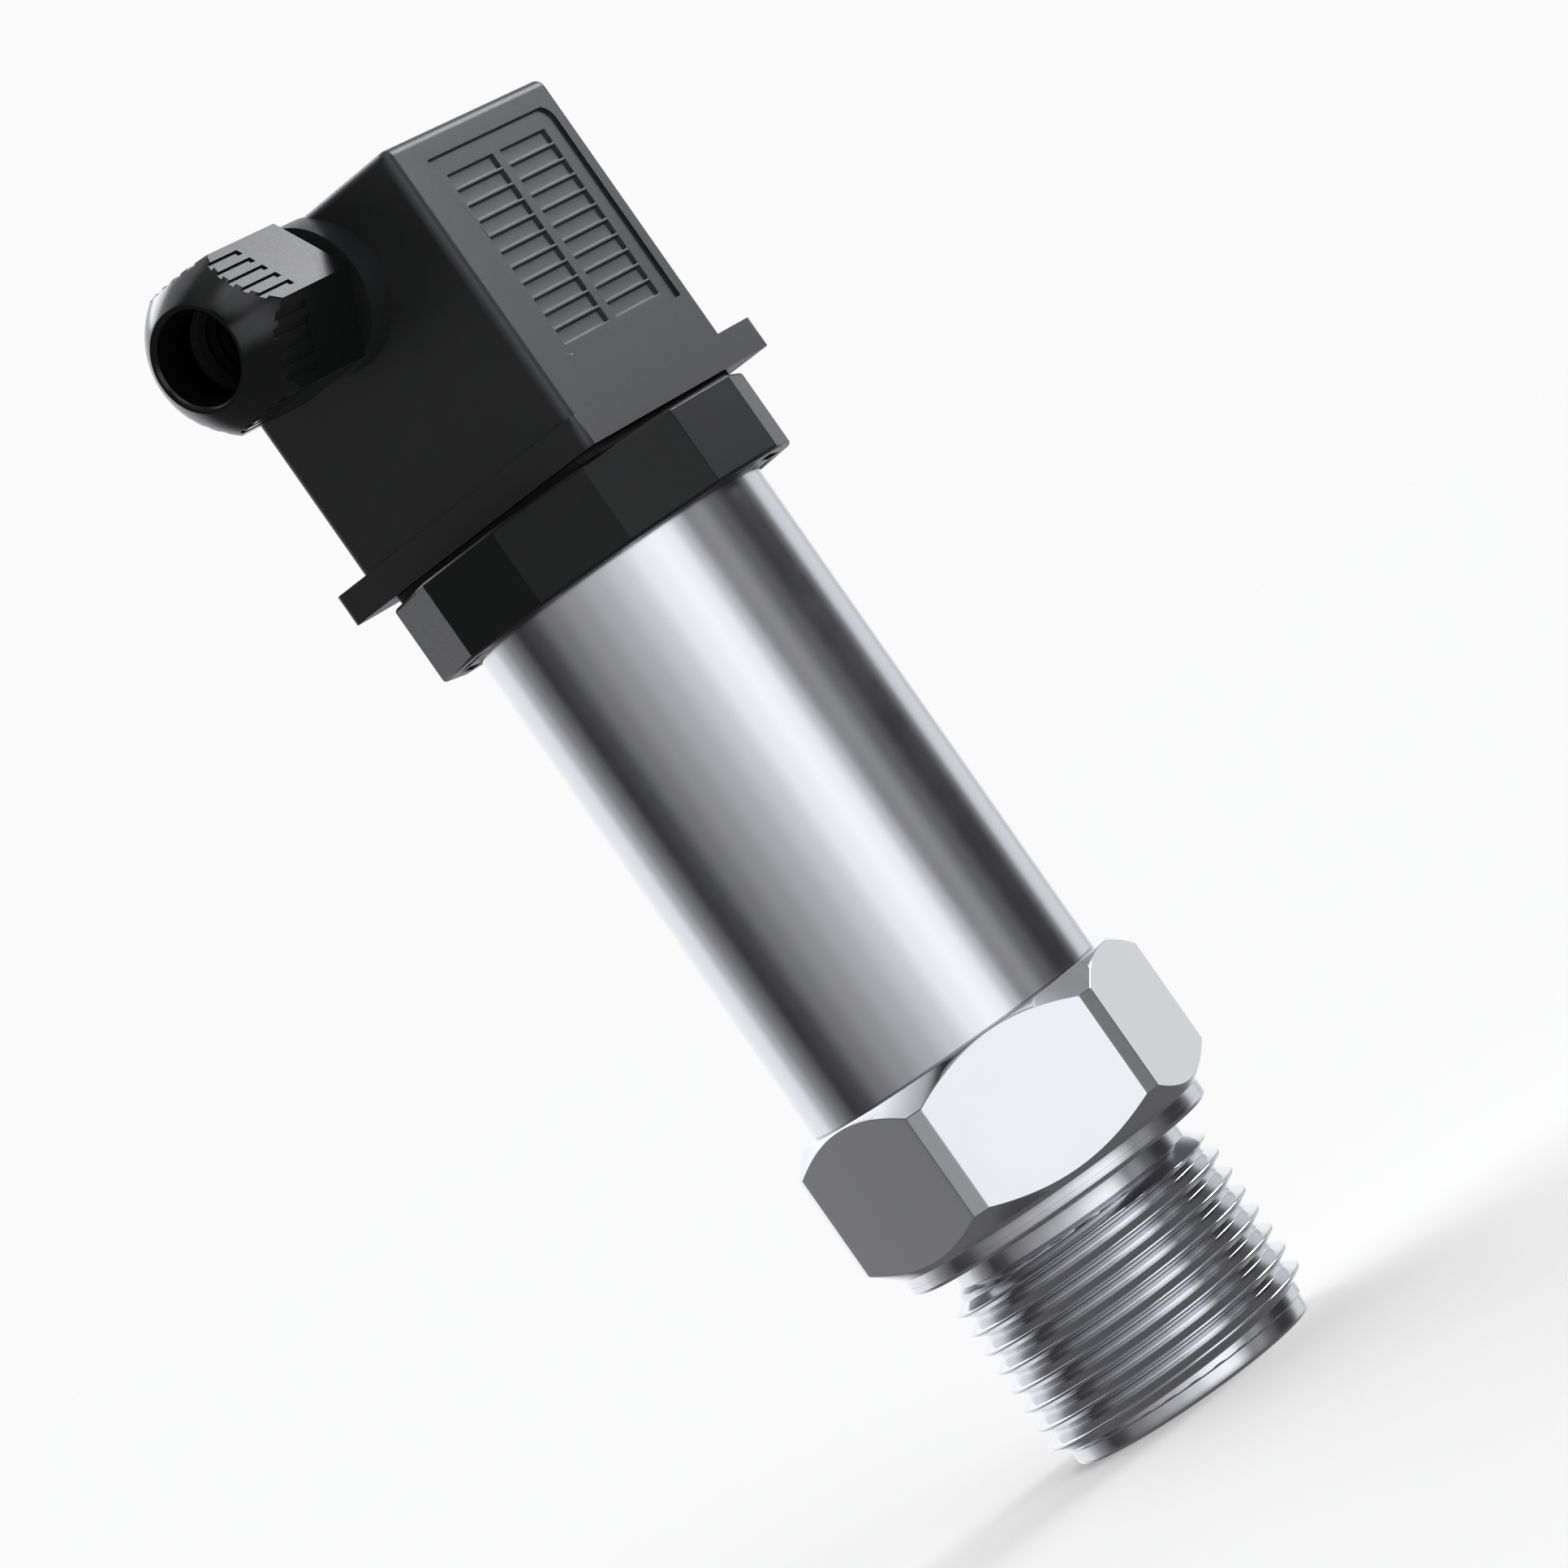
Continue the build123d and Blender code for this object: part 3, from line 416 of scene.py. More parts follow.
plastics = {
    "plug_plastic": ((0.0170, 0.0178, 0.0190), 0.42, 0.15, 0.0010, 0.05, 0.90),
    "gland_plastic": ((0.0045, 0.0050, 0.0053), 0.19, 0.20, 0.0003, 0.05, 0.50),
    "collar_plastic": ((0.0105, 0.0110, 0.0116), 0.36, 0.20, 0.0003, 0.05, 0.35),
    "base_plastic": ((0.020, 0.021, 0.022), 0.38, 0.15, 0.004, 0.08, 0.50),
    "inner_plastic": ((0.045, 0.046, 0.048), 0.45, 0.20, 0.005, 0.08, 0.50),
    "chip_plastic": ((0.018, 0.018, 0.019), 0.42, 0.20, 0.004, 0.08, 0.50),
    "circuit_board": ((0.020, 0.120, 0.045), 0.35, 0.50, 0.003, 0.25, 0.50),
    "lead_sleeve": ((0.45, 0.030, 0.022), 0.42, 0.30, 0.003, 0.08, 0.50),
    "rubber": ((0.022, 0.022, 0.023), 0.50, 0.30, 0.004, 0.08, 0.50),
    "gasket_rubber": ((0.010, 0.010, 0.010), 0.66, 0.30, 0.008, 0.08, 0.50),
}
finishes = {}
for name, (colour, roughness, size, height, *rest) in metals.items():
    finishes[name] = metal(name, colour, roughness, size * MM, height * MM, *rest)
for name, (colour, roughness, size, height, *rest) in plastics.items():
    finishes[name] = moulded(name, colour, roughness, size * MM, height * MM, *rest)
print("finishes", len(finishes))

# %% [markdown]
# ## Helpers for meshes
# A turned part is a stack of rings, and two rings with as many corners each are joined by a
# band of faces. The rings are written from the bore, round the outside and back, so that
# the shell is closed. The Screw modifier would turn a plain profile as well, but a hexagon
# needs rings whose radius changes with the angle. A crisp machined edge still has a radius
# of about a tenth of a millimetre, and that radius is what draws a thin bright line along
# it, so every edge sharper than a given angle is bevelled.

# %% Mesh helpers
EDGE_ANGLE = radians(24)
FLAT_ANGLE = radians(0.8)
MERGE_DISTANCE = 0.0005 * MM


def add_ring(bm, points):
    return [bm.verts.new(point) for point in points]


def round_rings(bm, profile, angles):
    """One ring for every radius and level of the profile."""
    return [
        add_ring(bm, [(radius * cos(a), radius * sin(a), level) for a in angles])
        for radius, level in profile
    ]


def join_rings(bm, rings):
    for lower, upper in zip(rings, rings[1:]):
        for index in range(len(lower)):
            following = (index + 1) % len(lower)
            bm.faces.new((lower[index], lower[following], upper[following], upper[index]))


def merged_copy(mesh):
    """The mesh with its doubles merged and its flat faces joined again."""
    bm = bmesh.new()
    bm.from_mesh(mesh)
    bmesh.ops.remove_doubles(bm, verts=bm.verts, dist=MERGE_DISTANCE)
    bmesh.ops.dissolve_limit(bm, angle_limit=FLAT_ANGLE, verts=bm.verts, edges=bm.edges)
    return bm


def count_open(bm):
    return sum(1 for edge in bm.edges if not edge.is_manifold)


def bevel_sharp(bm, width, chosen=None, clamp=True):
    """Rounds the sharp edges, or those of them whose two ends pass the test."""
    bm.normal_update()
    sharp = [
        edge for edge in bm.edges
        if edge.is_manifold and edge.calc_face_angle() > EDGE_ANGLE
        and (chosen is None or all(chosen(vert.co) for vert in edge.verts))
    ]
    bmesh.ops.bevel(
        bm, geom=sharp, offset=width, offset_type="OFFSET", segments=2,
        profile=0.5, affect="EDGES", clamp_overlap=clamp,
    )
    return len(sharp)


def plain_object(name, mesh):
    thing = bpy.data.objects.new(name, mesh)
    bpy.context.scene.collection.objects.link(thing)
    return thing


def object_from(bm, name):
    bmesh.ops.recalc_face_normals(bm, faces=bm.faces)
    mesh = bpy.data.meshes.new(name)
    bm.to_mesh(mesh)
    bm.free()
    return plain_object(name, mesh)


def settle(thing):
    """The object's evaluated mesh takes the place of its mesh and modifiers."""
    depsgraph = bpy.context.evaluated_depsgraph_get()
    mesh = bpy.data.meshes.new_from_object(thing.evaluated_get(depsgraph))
    mesh.name = thing.name
    thing.modifiers.clear()
    thing.data = mesh
    return thing


def shade(thing, angle=radians(40)):
    """Smooth shading, with flat faces kept flat by weighted normals."""
    thing.data.shade_smooth()
    thing.data.set_sharp_from_angle(angle=angle)
    weighting = thing.modifiers.new("flat faces first", "WEIGHTED_NORMAL")
    weighting.keep_sharp = True
    weighting.weight = 100
    return settle(thing)


covered = set()


def dress(thing, slot, body, *nodes):
    """Gives a finished piece its material, its body and the nodes that it stands for."""
    covered.update(nodes)
    thing.data.materials.clear()
    thing.data.materials.append(finishes[slot])
    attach(thing, body)
    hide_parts(*nodes)
    triangles = sum(len(face.vertices) - 2 for face in thing.data.polygons)
    print(thing.name, triangles, "triangles on", body)


# %% [markdown]
# ## The thread
# An M27 thread is a ridge that climbs 2 mm at every turn, right-handed. A curve could be
# swept along a helix, but its ends would need cutting. Here Geometry Nodes roll up a flat
# grid. One side of it becomes the angle, the other the height, and the height also climbs
# one pitch in a turn, so that every row of points follows the ridge and its crest stays
# crisp. A float curve gives the groove's section: how far along it is from root to crest,
# and how high. At each end the ridge fades out and is cut back by a cone, as the turning
# tool leaves it, and points past the ends are pushed back to them and merged.

# %% Sizes of the thread
tube_low, tube_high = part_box("housing_tube")
HEX_HEIGHT = 14.4 * MM
RING_HEIGHT = 1.7 * MM
RELIEF_HEIGHT = 1.7 * MM
hex_top = tube_low.z
hex_bottom = hex_top - HEX_HEIGHT
ring_bottom = hex_bottom - RING_HEIGHT
thread_end = ring_bottom - RELIEF_HEIGHT
THREAD_START = 1.5 * MM
THREAD_PITCH = 2.0 * MM
THREAD_RADIUS = 13.5 * MM
ROOT_RADIUS = 12.3 * MM
NECK_RADIUS = 12.05 * MM
RELIEF_RADIUS = 11.7 * MM
NECK_SLOPE = 1.6
RELIEF_SLOPE = 1.4
FIRST_TIP = 2.6 * MM
FADE_START = 0.5 * MM
FADE_LENGTH = 0.5 * MM
COLUMNS = 240
ROWS_PER_PITCH = 30
WELD_DISTANCE = 0.002 * MM
thread_section = [(0.13, 0.0), (0.22, 0.055), (0.88, 0.965), (0.94, 1.0)]
print("thread from", round(THREAD_START / MM, 2), "to", round(thread_end / MM, 2), "mm")

# %% Helpers for node groups
def group_input(tree, name, kind, value):
    socket = tree.interface.new_socket(name, in_out="INPUT", socket_type=kind)
    socket.default_value = value
    return socket


def set_inputs(modifier, tree, **values):
    """Writes a modifier's inputs by the sockets' identifiers."""
    for item in tree.interface.items_tree:
        if item.item_type == "SOCKET" and item.in_out == "INPUT" and item.name in values:
            modifier[item.identifier] = values[item.name]


# %% Thread by Geometry Nodes
def thread_tree():
    tree = bpy.data.node_groups.new("helical thread", "GeometryNodeTree")
    tree.interface.new_socket("Geometry", in_out="OUTPUT", socket_type="NodeSocketGeometry")
    for name in ("Low", "High", "Pitch", "Root", "Crest", "Shift", "Fade start", "Fade length",
                 "Neck", "Neck slope", "Relief", "Relief slope"):
        group_input(tree, name, "NodeSocketFloat", 1.0)
    group_input(tree, "Columns", "NodeSocketInt", 3)
    group_input(tree, "Rows", "NodeSocketInt", 2)
    group_input(tree, "Rows per pitch", "NodeSocketInt", 2)
    group_input(tree, "Material", "NodeSocketMaterial", None)
    given = add_node(tree, "NodeGroupInput").outputs
    sheet = add_node(tree, "GeometryNodeMeshGrid")
    feed(tree, 1.0, sheet.inputs["Size X"])
    feed(tree, 1.0, sheet.inputs["Size Y"])
    feed(tree, math_node(tree, "ADD", given["Columns"], 1.0), sheet.inputs["Vertices X"])
    feed(tree, math_node(tree, "ADD", given["Rows"], 1.0), sheet.inputs["Vertices Y"])
    position = add_node(tree, "GeometryNodeInputPosition")
    flat = add_node(tree, "ShaderNodeSeparateXYZ")
    feed(tree, position.outputs[0], flat.inputs[0])
    turned = flat.outputs["X"]
    bearing = math_node(tree, "MULTIPLY", turned, 2 * pi)
    row_share = math_node(tree, "ADD", flat.outputs["Y"], 0.5)
    row = math_node(tree, "MULTIPLY", row_share, given["Rows"])
    pitches = math_node(tree, "DIVIDE", row, given["Rows per pitch"])
    pitches = math_node(tree, "SUBTRACT", pitches, 0.5)
    climbed = math_node(tree, "ADD", pitches, turned)
    level = math_node(tree, "MULTIPLY_ADD", climbed, given["Pitch"], given["Low"])
    groove = math_node(tree, "FRACT", math_node(tree, "ADD", pitches, given["Shift"]))
    ridge = math_node(tree, "PINGPONG", math_node(tree, "MULTIPLY", groove, 2.0), 1.0)
    section = add_node(tree, "ShaderNodeFloatCurve")
    outline = section.mapping.curves[0]
    for knot in thread_section:
        outline.points.new(*knot)
    for point in outline.points:
        point.handle_type = "VECTOR"
    section.mapping.update()
    feed(tree, ridge, section.inputs["Value"])
    to_crest = math_node(tree, "SUBTRACT", 0.5, groove)
    crest_level = math_node(tree, "MULTIPLY_ADD", to_crest, given["Pitch"], level)
    above_low = math_node(tree, "SUBTRACT", crest_level, given["Low"])
    below_high = math_node(tree, "SUBTRACT", given["High"], crest_level)
    to_end = math_node(tree, "MINIMUM", above_low, below_high)
    past_start = math_node(tree, "SUBTRACT", to_end, given["Fade start"])
    fade = math_node(tree, "DIVIDE", past_start, given["Fade length"])
    share = map_range(tree, fade, 0.0, 1.0, 0.0, 1.0)
    rise = math_node(tree, "SUBTRACT", given["Crest"], given["Root"])
    rise = math_node(tree, "MULTIPLY", rise, share)
    radius = math_node(tree, "MULTIPLY_ADD", section.outputs[0], rise, given["Root"])
    held = math_node(tree, "MAXIMUM", level, given["Low"])
    held = math_node(tree, "MINIMUM", held, given["High"])
    over_low = math_node(tree, "SUBTRACT", held, given["Low"])
    neck = math_node(tree, "MULTIPLY_ADD", over_low, given["Neck slope"], given["Neck"])
    under_high = math_node(tree, "SUBTRACT", given["High"], held)
    relief = math_node(tree, "MULTIPLY_ADD", under_high, given["Relief slope"], given["Relief"])
    radius = math_node(tree, "MINIMUM", radius, math_node(tree, "MINIMUM", neck, relief))
    rolled = add_node(tree, "ShaderNodeCombineXYZ")
    across = math_node(tree, "MULTIPLY", math_node(tree, "COSINE", bearing), radius)
    along = math_node(tree, "MULTIPLY", math_node(tree, "SINE", bearing), radius)
    feed(tree, across, rolled.inputs["X"])
    feed(tree, along, rolled.inputs["Y"])
    feed(tree, held, rolled.inputs["Z"])
    place = add_node(tree, "GeometryNodeSetPosition")
    feed(tree, sheet.outputs["Mesh"], place.inputs["Geometry"])
    feed(tree, rolled.outputs[0], place.inputs["Position"])
    merge = add_node(tree, "GeometryNodeMergeByDistance")
    feed(tree, place.outputs[0], merge.inputs["Geometry"])
    feed(tree, WELD_DISTANCE, merge.inputs["Distance"])
    realize = add_node(tree, "GeometryNodeRealizeInstances")
    feed(tree, merge.outputs[0], realize.inputs[0])
    material = add_node(tree, "GeometryNodeSetMaterial")
    feed(tree, realize.outputs[0], material.inputs["Geometry"])
    feed(tree, given["Material"], material.inputs["Material"])
    result = add_node(tree, "NodeGroupOutput")
    feed(tree, material.outputs[0], result.inputs[0])
    return tree


# %% Thread on its sleeve
pitches_high = (thread_end - THREAD_START) / THREAD_PITCH + 1
left_turn = (view_azimuth - pi / 2) / (2 * pi)
thread_shift = (0.5 + left_turn - (FIRST_TIP - THREAD_START) / THREAD_PITCH) % 1.0
sleeve_tree = thread_tree()
sleeve = plain_object("thread_sleeve", bpy.data.meshes.new("thread_sleeve"))
sleeve_modifier = sleeve.modifiers.new("thread", "NODES")
sleeve_modifier.node_group = sleeve_tree
set_inputs(sleeve_modifier, sleeve_tree, **{
    "Low": THREAD_START, "High": thread_end, "Pitch": THREAD_PITCH, "Root": ROOT_RADIUS,
    "Crest": THREAD_RADIUS, "Shift": thread_shift, "Fade start": FADE_START,
    "Fade length": FADE_LENGTH, "Neck": NECK_RADIUS, "Neck slope": NECK_SLOPE,
    "Relief": RELIEF_RADIUS, "Relief slope": RELIEF_SLOPE, "Columns": COLUMNS,
    "Rows": ceil(pitches_high * ROWS_PER_PITCH), "Rows per pitch": ROWS_PER_PITCH,
    "Material": finishes["thread_steel"],
})
settle(sleeve)
print("thread faces", len(sleeve.data.polygons), "turns", round(pitches_high - 1, 2))

# %% [markdown]
# ## The process connection
# Nose, thread, relief groove, sealing ring and hexagon are one turned and milled piece. The
# hexagon is milled from a blank with a cone at each end, and where a flat cuts a cone it
# leaves a curved edge. That edge needs no boolean: at every angle the flat's distance from
# the axis is known, and the height where the cone has that radius follows from its slope.
# The hexagon's corners are blunt, as on bar steel, so each is a narrow flat of its own.

# %% Sizes of the process connection
HEX_APOTHEM = 16.0 * MM
HEX_CORNER_FLAT = 1.6 * MM
HEX_CORNER_TURN = radians(15)
BOTTOM_CONE = radians(40)
TOP_CONE = radians(45)
TOP_LAND = 1.2 * MM
RING_RADIUS = 15.4 * MM
RING_LINE = 0.06 * MM
NOSE_RADIUS = 12.05 * MM
PORT_RADIUS = 2.5 * MM
CHAMBER_RADIUS = 8.0 * MM
CELL_RADIUS = 9.55 * MM
LEDGE_LEVEL = 21.0 * MM
TURNED_EDGE = 0.10 * MM
PORT_CHAMFER = 0.5 * MM
NOSE_TOP = 0.9 * MM
SMALL_ROUND = 0.3 * MM
SPIGOT_WALL = 1.55 * MM
nose_lip = [(0.34, 0.0), (0.16, 0.05), (0.05, 0.16), (0.0, 0.34)]
tube_radius = tube_high.x
spigot_radius = tube_radius - SPIGOT_WALL
spigot_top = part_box("process_connection")[1].z

corner_apothem = HEX_APOTHEM / cos(pi / 6) - HEX_CORNER_FLAT / 2 / tan(pi / 3)
corner_half_angle = atan2(HEX_CORNER_FLAT / 2, corner_apothem)


# %% Helpers for the hexagon
def hexagon_angles(per_side, per_corner):
    """Angles round the hexagon with a point on each end of every flat and corner flat."""
    angles = []
    for side in range(6):
        corner = HEX_CORNER_TURN - pi / 3 + side * pi / 3
        for step in range(per_corner):
            angles.append(corner - corner_half_angle + step * 2 * corner_half_angle / per_corner)
        side_span = pi / 3 - 2 * corner_half_angle
        for step in range(per_side):
            angles.append(corner + corner_half_angle + step * side_span / per_side)
    return angles


def hexagon_radius(angle):
    nearest_corner = (angle - HEX_CORNER_TURN + pi / 6) % (pi / 3) - pi / 6
    to_side = pi / 6 - abs(nearest_corner)
    return min(HEX_APOTHEM / cos(to_side), corner_apothem / cos(nearest_corner))


# %% Process connection
PER_CORNER = 4
even_angles = [HEX_CORNER_TURN - pi / 3 + index * 2 * pi / COLUMNS for index in range(COLUMNS)]
hex_angles = hexagon_angles(COLUMNS // 6 - PER_CORNER, PER_CORNER)
top_radius = tube_radius + TOP_LAND

bm = bmesh.new()
nose_profile = [
    (CHAMBER_RADIUS, ring_bottom), (PORT_RADIUS, ring_bottom), (PORT_RADIUS, PORT_CHAMFER),
    (PORT_RADIUS + PORT_CHAMFER, 0),
    *((NOSE_RADIUS - inward * MM, rise * MM) for inward, rise in nose_lip),
    (NOSE_RADIUS, NOSE_TOP), (NECK_RADIUS, THREAD_START),
]
nose = round_rings(bm, nose_profile, even_angles)
join_rings(bm, nose)
ring_middle = ring_bottom + RING_HEIGHT / 2
relief_profile = [
    (RELIEF_RADIUS, thread_end), (RELIEF_RADIUS, ring_bottom - SMALL_ROUND),
    (RELIEF_RADIUS + SMALL_ROUND, ring_bottom), (RING_RADIUS - SMALL_ROUND, ring_bottom),
    (RING_RADIUS, ring_bottom + SMALL_ROUND), (RING_RADIUS, ring_middle - RING_LINE / 2),
    (RING_RADIUS - RING_LINE, ring_middle - RING_LINE / 4),
    (RING_RADIUS - RING_LINE, ring_middle + RING_LINE / 4),
    (RING_RADIUS, ring_middle + RING_LINE / 2), (RING_RADIUS, hex_bottom),
]
relief = round_rings(bm, relief_profile, even_angles)
join_rings(bm, relief)

flat_low = []
flat_high = []
for angle in hex_angles:
    radius = hexagon_radius(angle)
    low = hex_bottom + (radius - RING_RADIUS) * tan(BOTTOM_CONE)
    high = hex_top - (radius - top_radius) * tan(TOP_CONE)
    flat_low.append((radius * cos(angle), radius * sin(angle), low))
    flat_high.append((radius * cos(angle), radius * sin(angle), high))
upper_profile = [
    (top_radius, hex_top), (tube_radius, hex_top), (spigot_radius, hex_top),
    (spigot_radius, spigot_top), (CELL_RADIUS, spigot_top), (CELL_RADIUS, LEDGE_LEVEL),
    (CHAMBER_RADIUS, LEDGE_LEVEL),
]
flats = [add_ring(bm, flat_low), add_ring(bm, flat_high)]
join_rings(bm, relief[-1:] + flats + round_rings(bm, upper_profile, even_angles) + nose[:1])
rounded = bevel_sharp(bm, TURNED_EDGE, lambda place: abs(place.z - ring_middle) > RING_LINE)
bm.from_mesh(sleeve.data)
bmesh.ops.remove_doubles(bm, verts=bm.verts, dist=WELD_DISTANCE)
open_edges = count_open(bm)
connection = object_from(bm, "process_connection_finish")
bpy.data.objects.remove(sleeve)
shade(connection)
dress(connection, "turned_steel", "transmitter", "process_connection")
print("edges rounded", rounded, "open edges", open_edges)

# %% [markdown]
# ## Two more finishes on the same piece
# The flats are milled, so they are duller than the turned faces, and the thread is polished
# a little smoother. Three separate pieces could carry the three finishes, but they would
# leave seams. Instead each face goes by its place and its direction to the second or the
# third material of the one piece.

# %% Milled flats and polished thread
UPRIGHT_LIMIT = 0.05
ROOT_MARGIN = 0.1 * MM
connection.data.materials.append(finishes["milled_steel"])
connection.data.materials.append(finishes["thread_steel"])
milled_faces = 0
for face in connection.data.polygons:
    face_radius = hypot(face.center.x, face.center.y)
    if face_radius > RING_RADIUS + SMALL_ROUND and abs(face.normal.z) < UPRIGHT_LIMIT:
        face.material_index = 1
        milled_faces += 1
    if THREAD_START < face.center.z < thread_end and face_radius > ROOT_RADIUS - ROOT_MARGIN:
        face.material_index = 2
print("milled faces", milled_faces)

# %% [markdown]
# ## The tube
# The housing tube is a drawn tube, faced at both ends and polished along with the weld. Its
# reflections are read as straight stripes, and the facets of the solid's own mesh would
# break them, so the tube is built again with many columns and a small chamfer at each end.

# %% Housing tube
TUBE_COLUMNS = 288
TUBE_CHAMFER = 0.15 * MM
TUBE_WALL = 1.5 * MM
tube_angles = [index * 2 * pi / TUBE_COLUMNS for index in range(TUBE_COLUMNS)]
tube_inner = tube_radius - TUBE_WALL
faced_radius = tube_radius - TUBE_CHAMFER
tube_profile = [
    (tube_inner, tube_low.z), (faced_radius, tube_low.z),
    (tube_radius, tube_low.z + TUBE_CHAMFER), (tube_radius, tube_high.z - TUBE_CHAMFER),
    (faced_radius, tube_high.z), (tube_inner, tube_high.z),
]
bm = bmesh.new()
rings = round_rings(bm, tube_profile, tube_angles)
join_rings(bm, rings + rings[:1])
tube = shade(object_from(bm, "housing_tube_finish"))
dress(tube, "polished_tube", "transmitter", "housing_tube")

# %% [markdown]
# ## Moulded pieces
# The collar, the plug, the gasket and the fixing screw already have their true shape in the
# solids. A copy of such a node is merged, its flat faces are joined again, and its sharp
# edges get the small radius that a mould leaves. The node itself is not touched. A Bevel
# modifier could round them as well, but here some edges are picked by their place: those of
# the plug's ribbed panel are rounded first and more widely, because they catch a fine line
# of light in every pocket.

# %% Softened copies
SMOOTH_ANGLE = radians(50)
PANEL_FACE = -13.85 * MM
PANEL_DEPTH = 1.2 * MM
PANEL_MARGIN = 0.1 * MM
PANEL_HALF_WIDTH = 10.5 * MM
PANEL_LEVELS = (100.0 * MM, 124.0 * MM)
PANEL_EDGE = 0.12 * MM


def on_panel(place):
    """Whether a point lies on the plug's ribbed panel or in its pockets."""
    return (
        PANEL_FACE - PANEL_MARGIN < place.y < PANEL_FACE + PANEL_DEPTH
        and abs(place.x) < PANEL_HALF_WIDTH
        and PANEL_LEVELS[0] < place.z < PANEL_LEVELS[1]
    )


def softened(node, slot, width, first_width=0, first_chosen=None):
    source = frame["nodes"][node]
    bm = merged_copy(source.data)
    first_count = 0
    if first_chosen:
        first_count = bevel_sharp(bm, first_width, first_chosen, clamp=False)
    count = bevel_sharp(bm, width)
    thing = shade(object_from(bm, node + "_finish"), SMOOTH_ANGLE)
    dress(thing, slot, source["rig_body"], node)
    print("  edges rounded", first_count, "and", count)


softened("collar", "collar_plastic", 0.10 * MM)
softened("plug_housing", "plug_plastic", 0.06 * MM, PANEL_EDGE, on_panel)
softened("flat_gasket", "gasket_rubber", 0.08 * MM)
softened("fixing_screw", "screw_steel", 0.05 * MM)

# %% [markdown]
# ## The gland nut
# The nut is a moulded hexagon whose end is a dome. The dome's profile is an arc through
# three points, and each angle's flat ends where the arc has the flat's own radius. Five
# shallow slots run off every flat on to the dome. They could be modelled face by face, but
# where they meet the dome their ends are curved. So Geometry Nodes place thirty cutters,
# five in a line and the line six times round the axis, and a boolean takes them away. The
# nut is made upright on its base and laid on its side at the end.

# %% Sizes of the gland nut
nut_low, nut_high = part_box("gland_nut")
NUT_APOTHEM = 6.75 * MM
NUT_HEX_LENGTH = 10.1 * MM
NUT_BULGE = 0.35 * MM
NUT_RIM = 4.65 * MM
NUT_MOUTH = 4.12 * MM
NUT_BORE = 5.46 * MM
NUT_MOUTH_LENGTH = 5.2 * MM
NUT_CHAMFER = 0.25 * MM
SLOT_SPACING = 1.33 * MM
SLOT_WIDTH = 0.66 * MM
SLOT_DEPTH = 0.20 * MM
SLOT_START = 7.0 * MM
SLOT_END_GAP = 0.8 * MM
SLOTS = 5
SIDES = 6
NUT_EDGE = 0.04 * MM
nut_axis = (nut_low.z + nut_high.z) / 2
nut_length = nut_high.x - nut_low.x
nut_corner = NUT_APOTHEM / cos(pi / 6)


# %% Cutters by Geometry Nodes
def slot_tree():
    tree = bpy.data.node_groups.new("gland nut slots", "GeometryNodeTree")
    tree.interface.new_socket("Geometry", in_out="OUTPUT", socket_type="NodeSocketGeometry")
    for name in ("Apothem", "Start", "End", "Spacing", "Width", "Depth"):
        group_input(tree, name, "NodeSocketFloat", 1.0)
    group_input(tree, "Slots", "NodeSocketInt", 5)
    group_input(tree, "Sides", "NodeSocketInt", 6)
    group_input(tree, "Material", "NodeSocketMaterial", None)
    given = add_node(tree, "NodeGroupInput").outputs
    length = math_node(tree, "SUBTRACT", given["End"], given["Start"])
    size = add_node(tree, "ShaderNodeCombineXYZ")
    feed(tree, given["Width"], size.inputs["X"])
    feed(tree, math_node(tree, "MULTIPLY", given["Depth"], 4.0), size.inputs["Y"])
    feed(tree, length, size.inputs["Z"])
    block = add_node(tree, "GeometryNodeMeshCube")
    feed(tree, size.outputs[0], block.inputs["Size"])
    gaps = math_node(tree, "SUBTRACT", given["Slots"], 1.0)
    half_row = math_node(tree, "MULTIPLY", gaps, -0.5)
    first = add_node(tree, "ShaderNodeCombineXYZ")
    feed(tree, math_node(tree, "MULTIPLY", half_row, given["Spacing"]), first.inputs["X"])
    feed(tree, math_node(tree, "ADD", given["Apothem"], given["Depth"]), first.inputs["Y"])
    feed(tree, math_node(tree, "MULTIPLY_ADD", length, 0.5, given["Start"]), first.inputs["Z"])
    step = add_node(tree, "ShaderNodeCombineXYZ")
    feed(tree, given["Spacing"], step.inputs["X"])
    line = add_node(tree, "GeometryNodeMeshLine")
    feed(tree, given["Slots"], line.inputs["Count"])
    feed(tree, first.outputs[0], line.inputs["Start Location"])
    feed(tree, step.outputs[0], line.inputs["Offset"])
    row = add_node(tree, "GeometryNodeInstanceOnPoints")
    feed(tree, line.outputs[0], row.inputs["Points"])
    feed(tree, block.outputs["Mesh"], row.inputs["Instance"])
    hub = add_node(tree, "GeometryNodeMeshLine")
    feed(tree, given["Sides"], hub.inputs["Count"])
    feed(tree, (0, 0, 0), hub.inputs["Offset"])
    index = add_node(tree, "GeometryNodeInputIndex")
    side = math_node(tree, "DIVIDE", index.outputs[0], given["Sides"])
    turn = add_node(tree, "ShaderNodeCombineXYZ")
    feed(tree, math_node(tree, "MULTIPLY", side, 2 * pi), turn.inputs["Z"])
    wheel = add_node(tree, "GeometryNodeInstanceOnPoints")
    feed(tree, hub.outputs[0], wheel.inputs["Points"])
    feed(tree, row.outputs[0], wheel.inputs["Instance"])
    feed(tree, turn.outputs[0], wheel.inputs["Rotation"])
    realize = add_node(tree, "GeometryNodeRealizeInstances")
    feed(tree, wheel.outputs[0], realize.inputs[0])
    material = add_node(tree, "GeometryNodeSetMaterial")
    feed(tree, realize.outputs[0], material.inputs["Geometry"])
    feed(tree, given["Material"], material.inputs["Material"])
    result = add_node(tree, "NodeGroupOutput")
    feed(tree, material.outputs[0], result.inputs[0])
    return tree


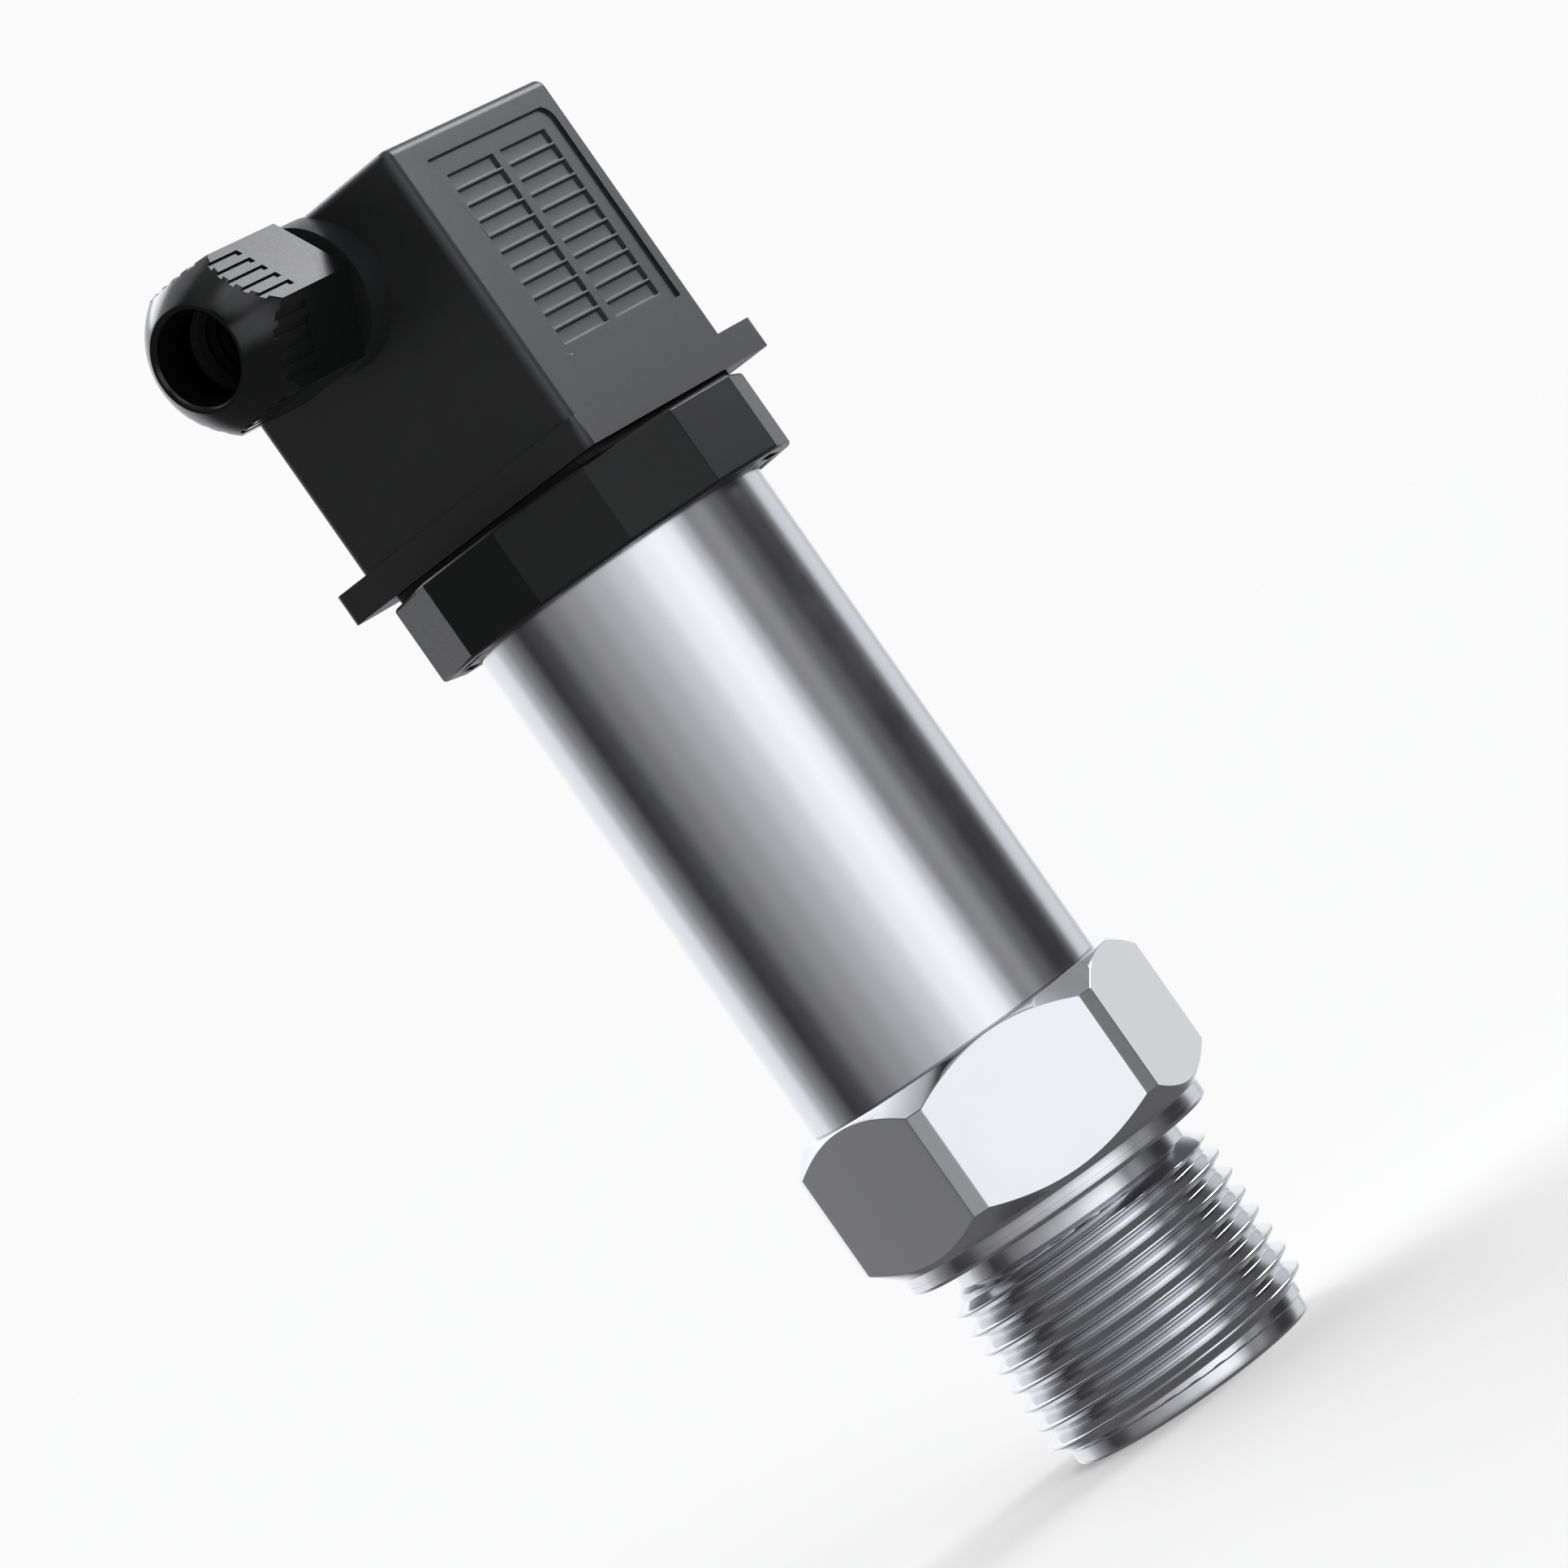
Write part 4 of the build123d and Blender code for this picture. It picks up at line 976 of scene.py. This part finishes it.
# %% Helpers for the dome
def arc_through(first, middle, last, steps):
    """Points from the first to the last on the circle through three points in a plane."""
    (ax, ay), (bx, by), (cx, cy) = first, middle, last
    twice_area = 2 * (ax * (by - cy) + bx * (cy - ay) + cx * (ay - by))
    a2, b2, c2 = ax * ax + ay * ay, bx * bx + by * by, cx * cx + cy * cy
    ux = (a2 * (by - cy) + b2 * (cy - ay) + c2 * (ay - by)) / twice_area
    uy = (a2 * (cx - bx) + b2 * (ax - cx) + c2 * (bx - ax)) / twice_area
    radius = hypot(ax - ux, ay - uy)
    start = atan2(ay - uy, ax - ux)
    span = (atan2(cy - uy, cx - ux) - start + pi) % (2 * pi) - pi
    turns = [start + span * index / steps for index in range(steps + 1)]
    return [(ux + radius * cos(turn), uy + radius * sin(turn)) for turn in turns]


def level_at(profile, radius):
    """The height where a falling profile has the given radius."""
    for (upper_radius, upper), (lower_radius, lower) in zip(profile, profile[1:]):
        if lower_radius <= radius <= upper_radius:
            share = (upper_radius - radius) / (upper_radius - lower_radius)
            return upper + share * (lower - upper)
    return profile[0][1]


# %% Blank of the gland nut
DOME_STEPS = 24
ARC_STEPS = 200
NUT_COLUMNS = 144
dome_middle = ((nut_corner + NUT_RIM) / 2 + NUT_BULGE, (NUT_HEX_LENGTH + nut_length) / 2)
dome = arc_through((nut_corner, NUT_HEX_LENGTH), dome_middle, (NUT_RIM, nut_length), ARC_STEPS)
nut_angles = [index * 2 * pi / NUT_COLUMNS for index in range(NUT_COLUMNS)]
bm = bmesh.new()
base_points = []
fan = [[] for step in range(DOME_STEPS)]
for angle in nut_angles:
    to_side = (angle + pi / 6) % (pi / 3) - pi / 6
    radius = NUT_APOTHEM / cos(pi / 6 - abs(to_side))
    base_points.append((radius * cos(angle), radius * sin(angle), 0))
    for step in range(DOME_STEPS):
        share = step / (DOME_STEPS - 1)
        dome_radius = radius + (NUT_RIM - radius) * share
        dome_level = level_at(dome, dome_radius)
        fan[step].append((dome_radius * cos(angle), dome_radius * sin(angle), dome_level))
mouth_end = nut_length - NUT_MOUTH_LENGTH
nut_inside = [
    (NUT_MOUTH + NUT_CHAMFER, nut_length), (NUT_MOUTH, nut_length - NUT_CHAMFER),
    (NUT_MOUTH, mouth_end), (NUT_BORE, mouth_end), (NUT_BORE, 0),
]
nut_rings = [add_ring(bm, points) for points in [base_points] + fan]
nut_rings += round_rings(bm, nut_inside, nut_angles)
join_rings(bm, nut_rings + nut_rings[:1])
blank = object_from(bm, "gland_nut_finish")
print("nut blank of", len(nut_rings), "rings")

# %% Gland nut with its slots
cutter_tree = slot_tree()
cutters = plain_object("slot_cutters", bpy.data.meshes.new("slot_cutters"))
cutter_modifier = cutters.modifiers.new("slots", "NODES")
cutter_modifier.node_group = cutter_tree
set_inputs(cutter_modifier, cutter_tree, **{
    "Apothem": NUT_APOTHEM, "Start": SLOT_START, "End": nut_length - SLOT_END_GAP,
    "Spacing": SLOT_SPACING, "Width": SLOT_WIDTH, "Depth": SLOT_DEPTH, "Slots": SLOTS,
    "Sides": SIDES, "Material": finishes["gland_plastic"],
})
settle(cutters)
cutting = blank.modifiers.new("slots cut", "BOOLEAN")
cutting.operation = "DIFFERENCE"
cutting.solver = "EXACT"
cutting.object = cutters
settle(blank)
bpy.data.objects.remove(cutters)
bm = merged_copy(blank.data)
bpy.data.objects.remove(blank)
nut_rounded = bevel_sharp(bm, NUT_EDGE)
for vert in bm.verts:
    across, along, out = vert.co
    vert.co = (nut_high.x - out, across, nut_axis + along)
nut_open = count_open(bm)
nut = shade(object_from(bm, "gland_nut_finish"), SMOOTH_ANGLE)
dress(nut, "gland_plastic", frame["nodes"]["gland_nut"]["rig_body"], "gland_nut")
print("  edges rounded", nut_rounded, "open edges", nut_open)

# %% [markdown]
# ## Everything inside
# The seals, the sensor cell, the board and the contacts keep their own solids, which are
# right as they are. Most of them only show when the plug is pulled off, and they still get
# the finish that the record names for each of them.

# %% Finishes of the other nodes
kept_nodes = 0
for subpart in frame["record"]["subparts"]:
    node = frame["nodes"][subpart["node"]]
    if node.name in covered:
        continue
    for slot in node.material_slots:
        slot.material = finishes[subpart["material_slot"]]
    kept_nodes += 1
print("solids kept with a finish:", kept_nodes)
